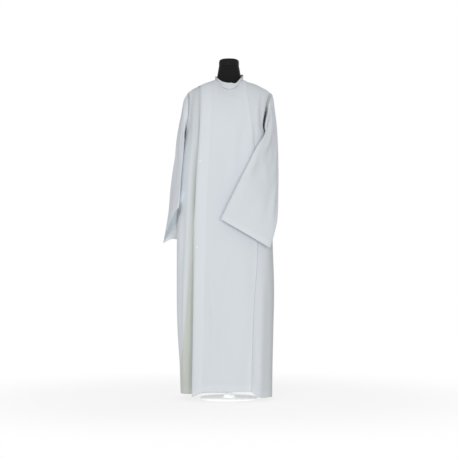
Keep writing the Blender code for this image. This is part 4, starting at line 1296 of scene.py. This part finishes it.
def formMaterial(values, name, color, rough):
    look = Look(name)
    place = look.place()
    grain = look.noise(place, 1.0 / values["knit"], 2.0, 0.6, (1.0, 1.0, 0.5))
    cloud = look.noise(place, 14.0)
    even, clouds, knit = values["tones"]
    return look.finish({
        "Base Color": look.shade(color, even + cloud * clouds + grain * knit), "Roughness": rough,
        "Normal": look.bump(grain, values["knitDeep"]),
        "Sheen Weight": values["sheen"], "Sheen Roughness": 0.5, "Specular IOR Level": 0.15})


stand = {
    "color": (0.90, 0.905, 0.91),
    "cloud": (0.985, 0.03),   # its tone, and how much that varies
    "paintedLight": 0.46,             # painted light: a glow of its own, which keeps it near the floor's tone in the robe's shadow
    "rough": (0.51, 0.08),    # and how much that varies
    "ripple": 0.00006,
}


def enamelMaterial(values):
    look = Look("standEnamel")
    place = look.place()
    ripple = look.noise(place, 240.0, 2.0)
    cloud = look.noise(place, 22.0, 2.0)
    even, clouds = values["cloud"]
    rough, roughs = values["rough"]
    color = look.shade(values["color"], even + cloud * clouds)
    # The emission is painted light that lifts the stand out of the robe's shadow.
    return look.finish({
        "Base Color": color, "Emission Color": look.shade(color, values["paintedLight"]),
        "Emission Strength": 1.0, "Roughness": rough + cloud * roughs,
        "Normal": look.bump(ripple, values["ripple"]), "Specular IOR Level": 0.3})


def buttonMaterial(values):
    look = Look("buttonPearl")
    even, clouds = values["cloud"]
    cloud = look.noise(look.place(), 420.0, 3.0, 0.6)
    return look.finish({
        "Base Color": look.shade(values["color"], even + cloud * clouds),
        "Roughness": values["rough"], "Coat Weight": values["coat"],
        "Coat Roughness": values["coatRough"]})


def dress(piece, material):
    piece.data.materials.clear()
    piece.data.materials.append(material)


# Camera, light and floor
studio = {
    "cameraAt": (0.0, -6.0, 0.60),
    "cameraTo": (0.0, 0.0, 0.76),
    "lens": 104.8,
    "floorWide": 14.0,
    "around": 0.48,           # light from all sides
    "floor": 0.95,
    "glow": 0.78,             # part of the floor's brightness that takes no shadow
    "bounce": 0.50,           # part of that glow that lights the robe
    "near": 0.45,             # the floor takes shadows out to here, and is plain white
    "far": 1.70,              # from here on
    "lamps": (                # place, aim, size in metres, power in watts
        ("keyLamp", (-1.1, -5.0, 1.5), (0.0, 0.0, 0.75), 2.2, 84.0),
        ("frontLamp", (1.9, -5.2, 1.0), (0.0, 0.0, 0.70), 1.2, 46.0),
        ("topLamp", (-0.4, -1.6, 4.0), (0.0, 0.0, 0.5), 3.0, 3.0),
        ("backLamp", (3.4, 4.6, 2.4), (0.0, 0.0, 0.75), 2.0, 60.0),
    ),
}


def aimed(name, data, at, to):
    # A camera or lamp at its place, turned towards its aim.
    thing = bpy.data.objects.new(name, data)
    thing.location = at
    thing.rotation_euler = (Vector(to) - Vector(at)).to_track_quat("-Z", "Y").to_euler()
    bpy.context.scene.collection.objects.link(thing)
    return thing


def makeStudio(values):
    eye = bpy.data.cameras.new("eye")
    eye.lens = values["lens"]
    eye.sensor_width = 36.0
    bpy.context.scene.camera = aimed("eye", eye, values["cameraAt"], values["cameraTo"])
    for name, at, to, size, power in values["lamps"]:
        light = bpy.data.lights.new(name, "AREA")
        light.shape = "DISK"
        light.size = size
        light.energy = power
        aimed(name, light, at, to)
    world = bpy.data.worlds.new("studio")
    bpy.context.scene.world = world
    world.use_nodes = True
    nodes, links = world.node_tree.nodes, world.node_tree.links
    nodes.clear()
    seen = nodes.new("ShaderNodeLightPath")
    bright = nodes.new("ShaderNodeMapRange")
    bright.inputs["To Min"].default_value = values["around"]
    bright.inputs["To Max"].default_value = 1.0
    background = nodes.new("ShaderNodeBackground")
    background.inputs["Color"].default_value = (1.0, 1.0, 1.0, 1.0)
    output = nodes.new("ShaderNodeOutputWorld")
    links.new(seen.outputs["Is Camera Ray"], bright.inputs["Value"])
    links.new(bright.outputs[0], background.inputs["Strength"])
    links.new(background.outputs[0], output.inputs["Surface"])
    bpy.ops.object.select_all(action="DESELECT")
    bpy.ops.mesh.primitive_plane_add(size=values["floorWide"], location=(0.0, 0.0, -0.0005))
    floor = bpy.context.object
    floor.name = "floor"
    look = Look("floorPaper")
    away = look.add("ShaderNodeVectorMath", {"operation": "LENGTH"}, {0: look.place()}, 1)
    middle, half = (values["near"] + values["far"]) / 2, (values["far"] - values["near"]) / 2
    lit = away.step(middle, half) * (1.0 - values["glow"]) + values["glow"]
    paper = (values["floor"], values["floor"], values["floor"])
    straight = look.add("ShaderNodeLightPath")
    glow = lit * (straight * (1.0 - values["bounce"]) + values["bounce"])
    dress(floor, look.finish({
        "Base Color": look.shade(paper, 1.0 - lit), "Roughness": 0.9, "Specular IOR Level": 0.0,
        "Emission Color": look.shade((1.0, 1.0, 1.0), glow), "Emission Strength": 1.0}))
    bpy.context.scene.view_settings.view_transform = "Standard"


print("cloth")
pieces, areas = {}, {}
for name, build, values in (
        ("leftFront", buildLeftFront, leftFront), ("rightFront", buildRightFront, rightFront),
        ("backPanel", buildBack, backPanel), ("collarBand", buildCollar, collar),
        ("leftSleeve", buildSleeve, leftSleeve), ("rightSleeve", buildSleeve, rightSleeve)):
    pieces[name], areas[name] = build(values)
albCloth = clothMaterial(cloth)
for name, piece in pieces.items():
    dress(piece, albCloth)
    print(name, "area", round(areas[name], 4), "m2,", len(piece.data.polygons), "faces")

print("form, stand and buttons")
enamel = enamelMaterial(stand)
for name, node, levels, material in (
        ("formCover", "form_torso", formLook["levels"],
         formMaterial(formLook, "formCover", formLook["cover"], formLook["coverRough"])),
        ("neckCap", "form_neck_cap", formLook["levels"],
         formMaterial(formLook, "neckCapCover", formLook["cap"], formLook["capRough"])),
        ("standBase", "stand_base", 0, enamel),
        ("standPole", "stand_pole", 0, enamel)):
    pieces[name] = smoothCopy(node, name, levels)
    dress(pieces[name], material)
pearl = buttonMaterial(buttons)
for name, z in buttons["heights"].items():
    pieces[name] = makeButton(name, z, buttons)
    dress(pieces[name], pearl)

nodeOf = {
    "leftFront": ("left_front", "alb_cloth"), "rightFront": ("right_front", "alb_cloth"),
    "backPanel": ("back", "alb_cloth"), "leftSleeve": ("left_sleeve", "alb_cloth"),
    "rightSleeve": ("right_sleeve", "alb_cloth"), "collarBand": ("collar", "alb_cloth"),
    "buttonUpper": ("button_upper", "button"), "buttonLower": ("button_lower", "button"),
    "formCover": ("form_torso", "form_cover"), "neckCap": ("form_neck_cap", "form_cover"),
    "standBase": ("stand_base", "stand_enamel"), "standPole": ("stand_pole", "stand_enamel"),
}
for name, (node, slot) in nodeOf.items():
    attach(pieces[name], "root")
    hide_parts(node)

print("studio")
makeStudio(studio)
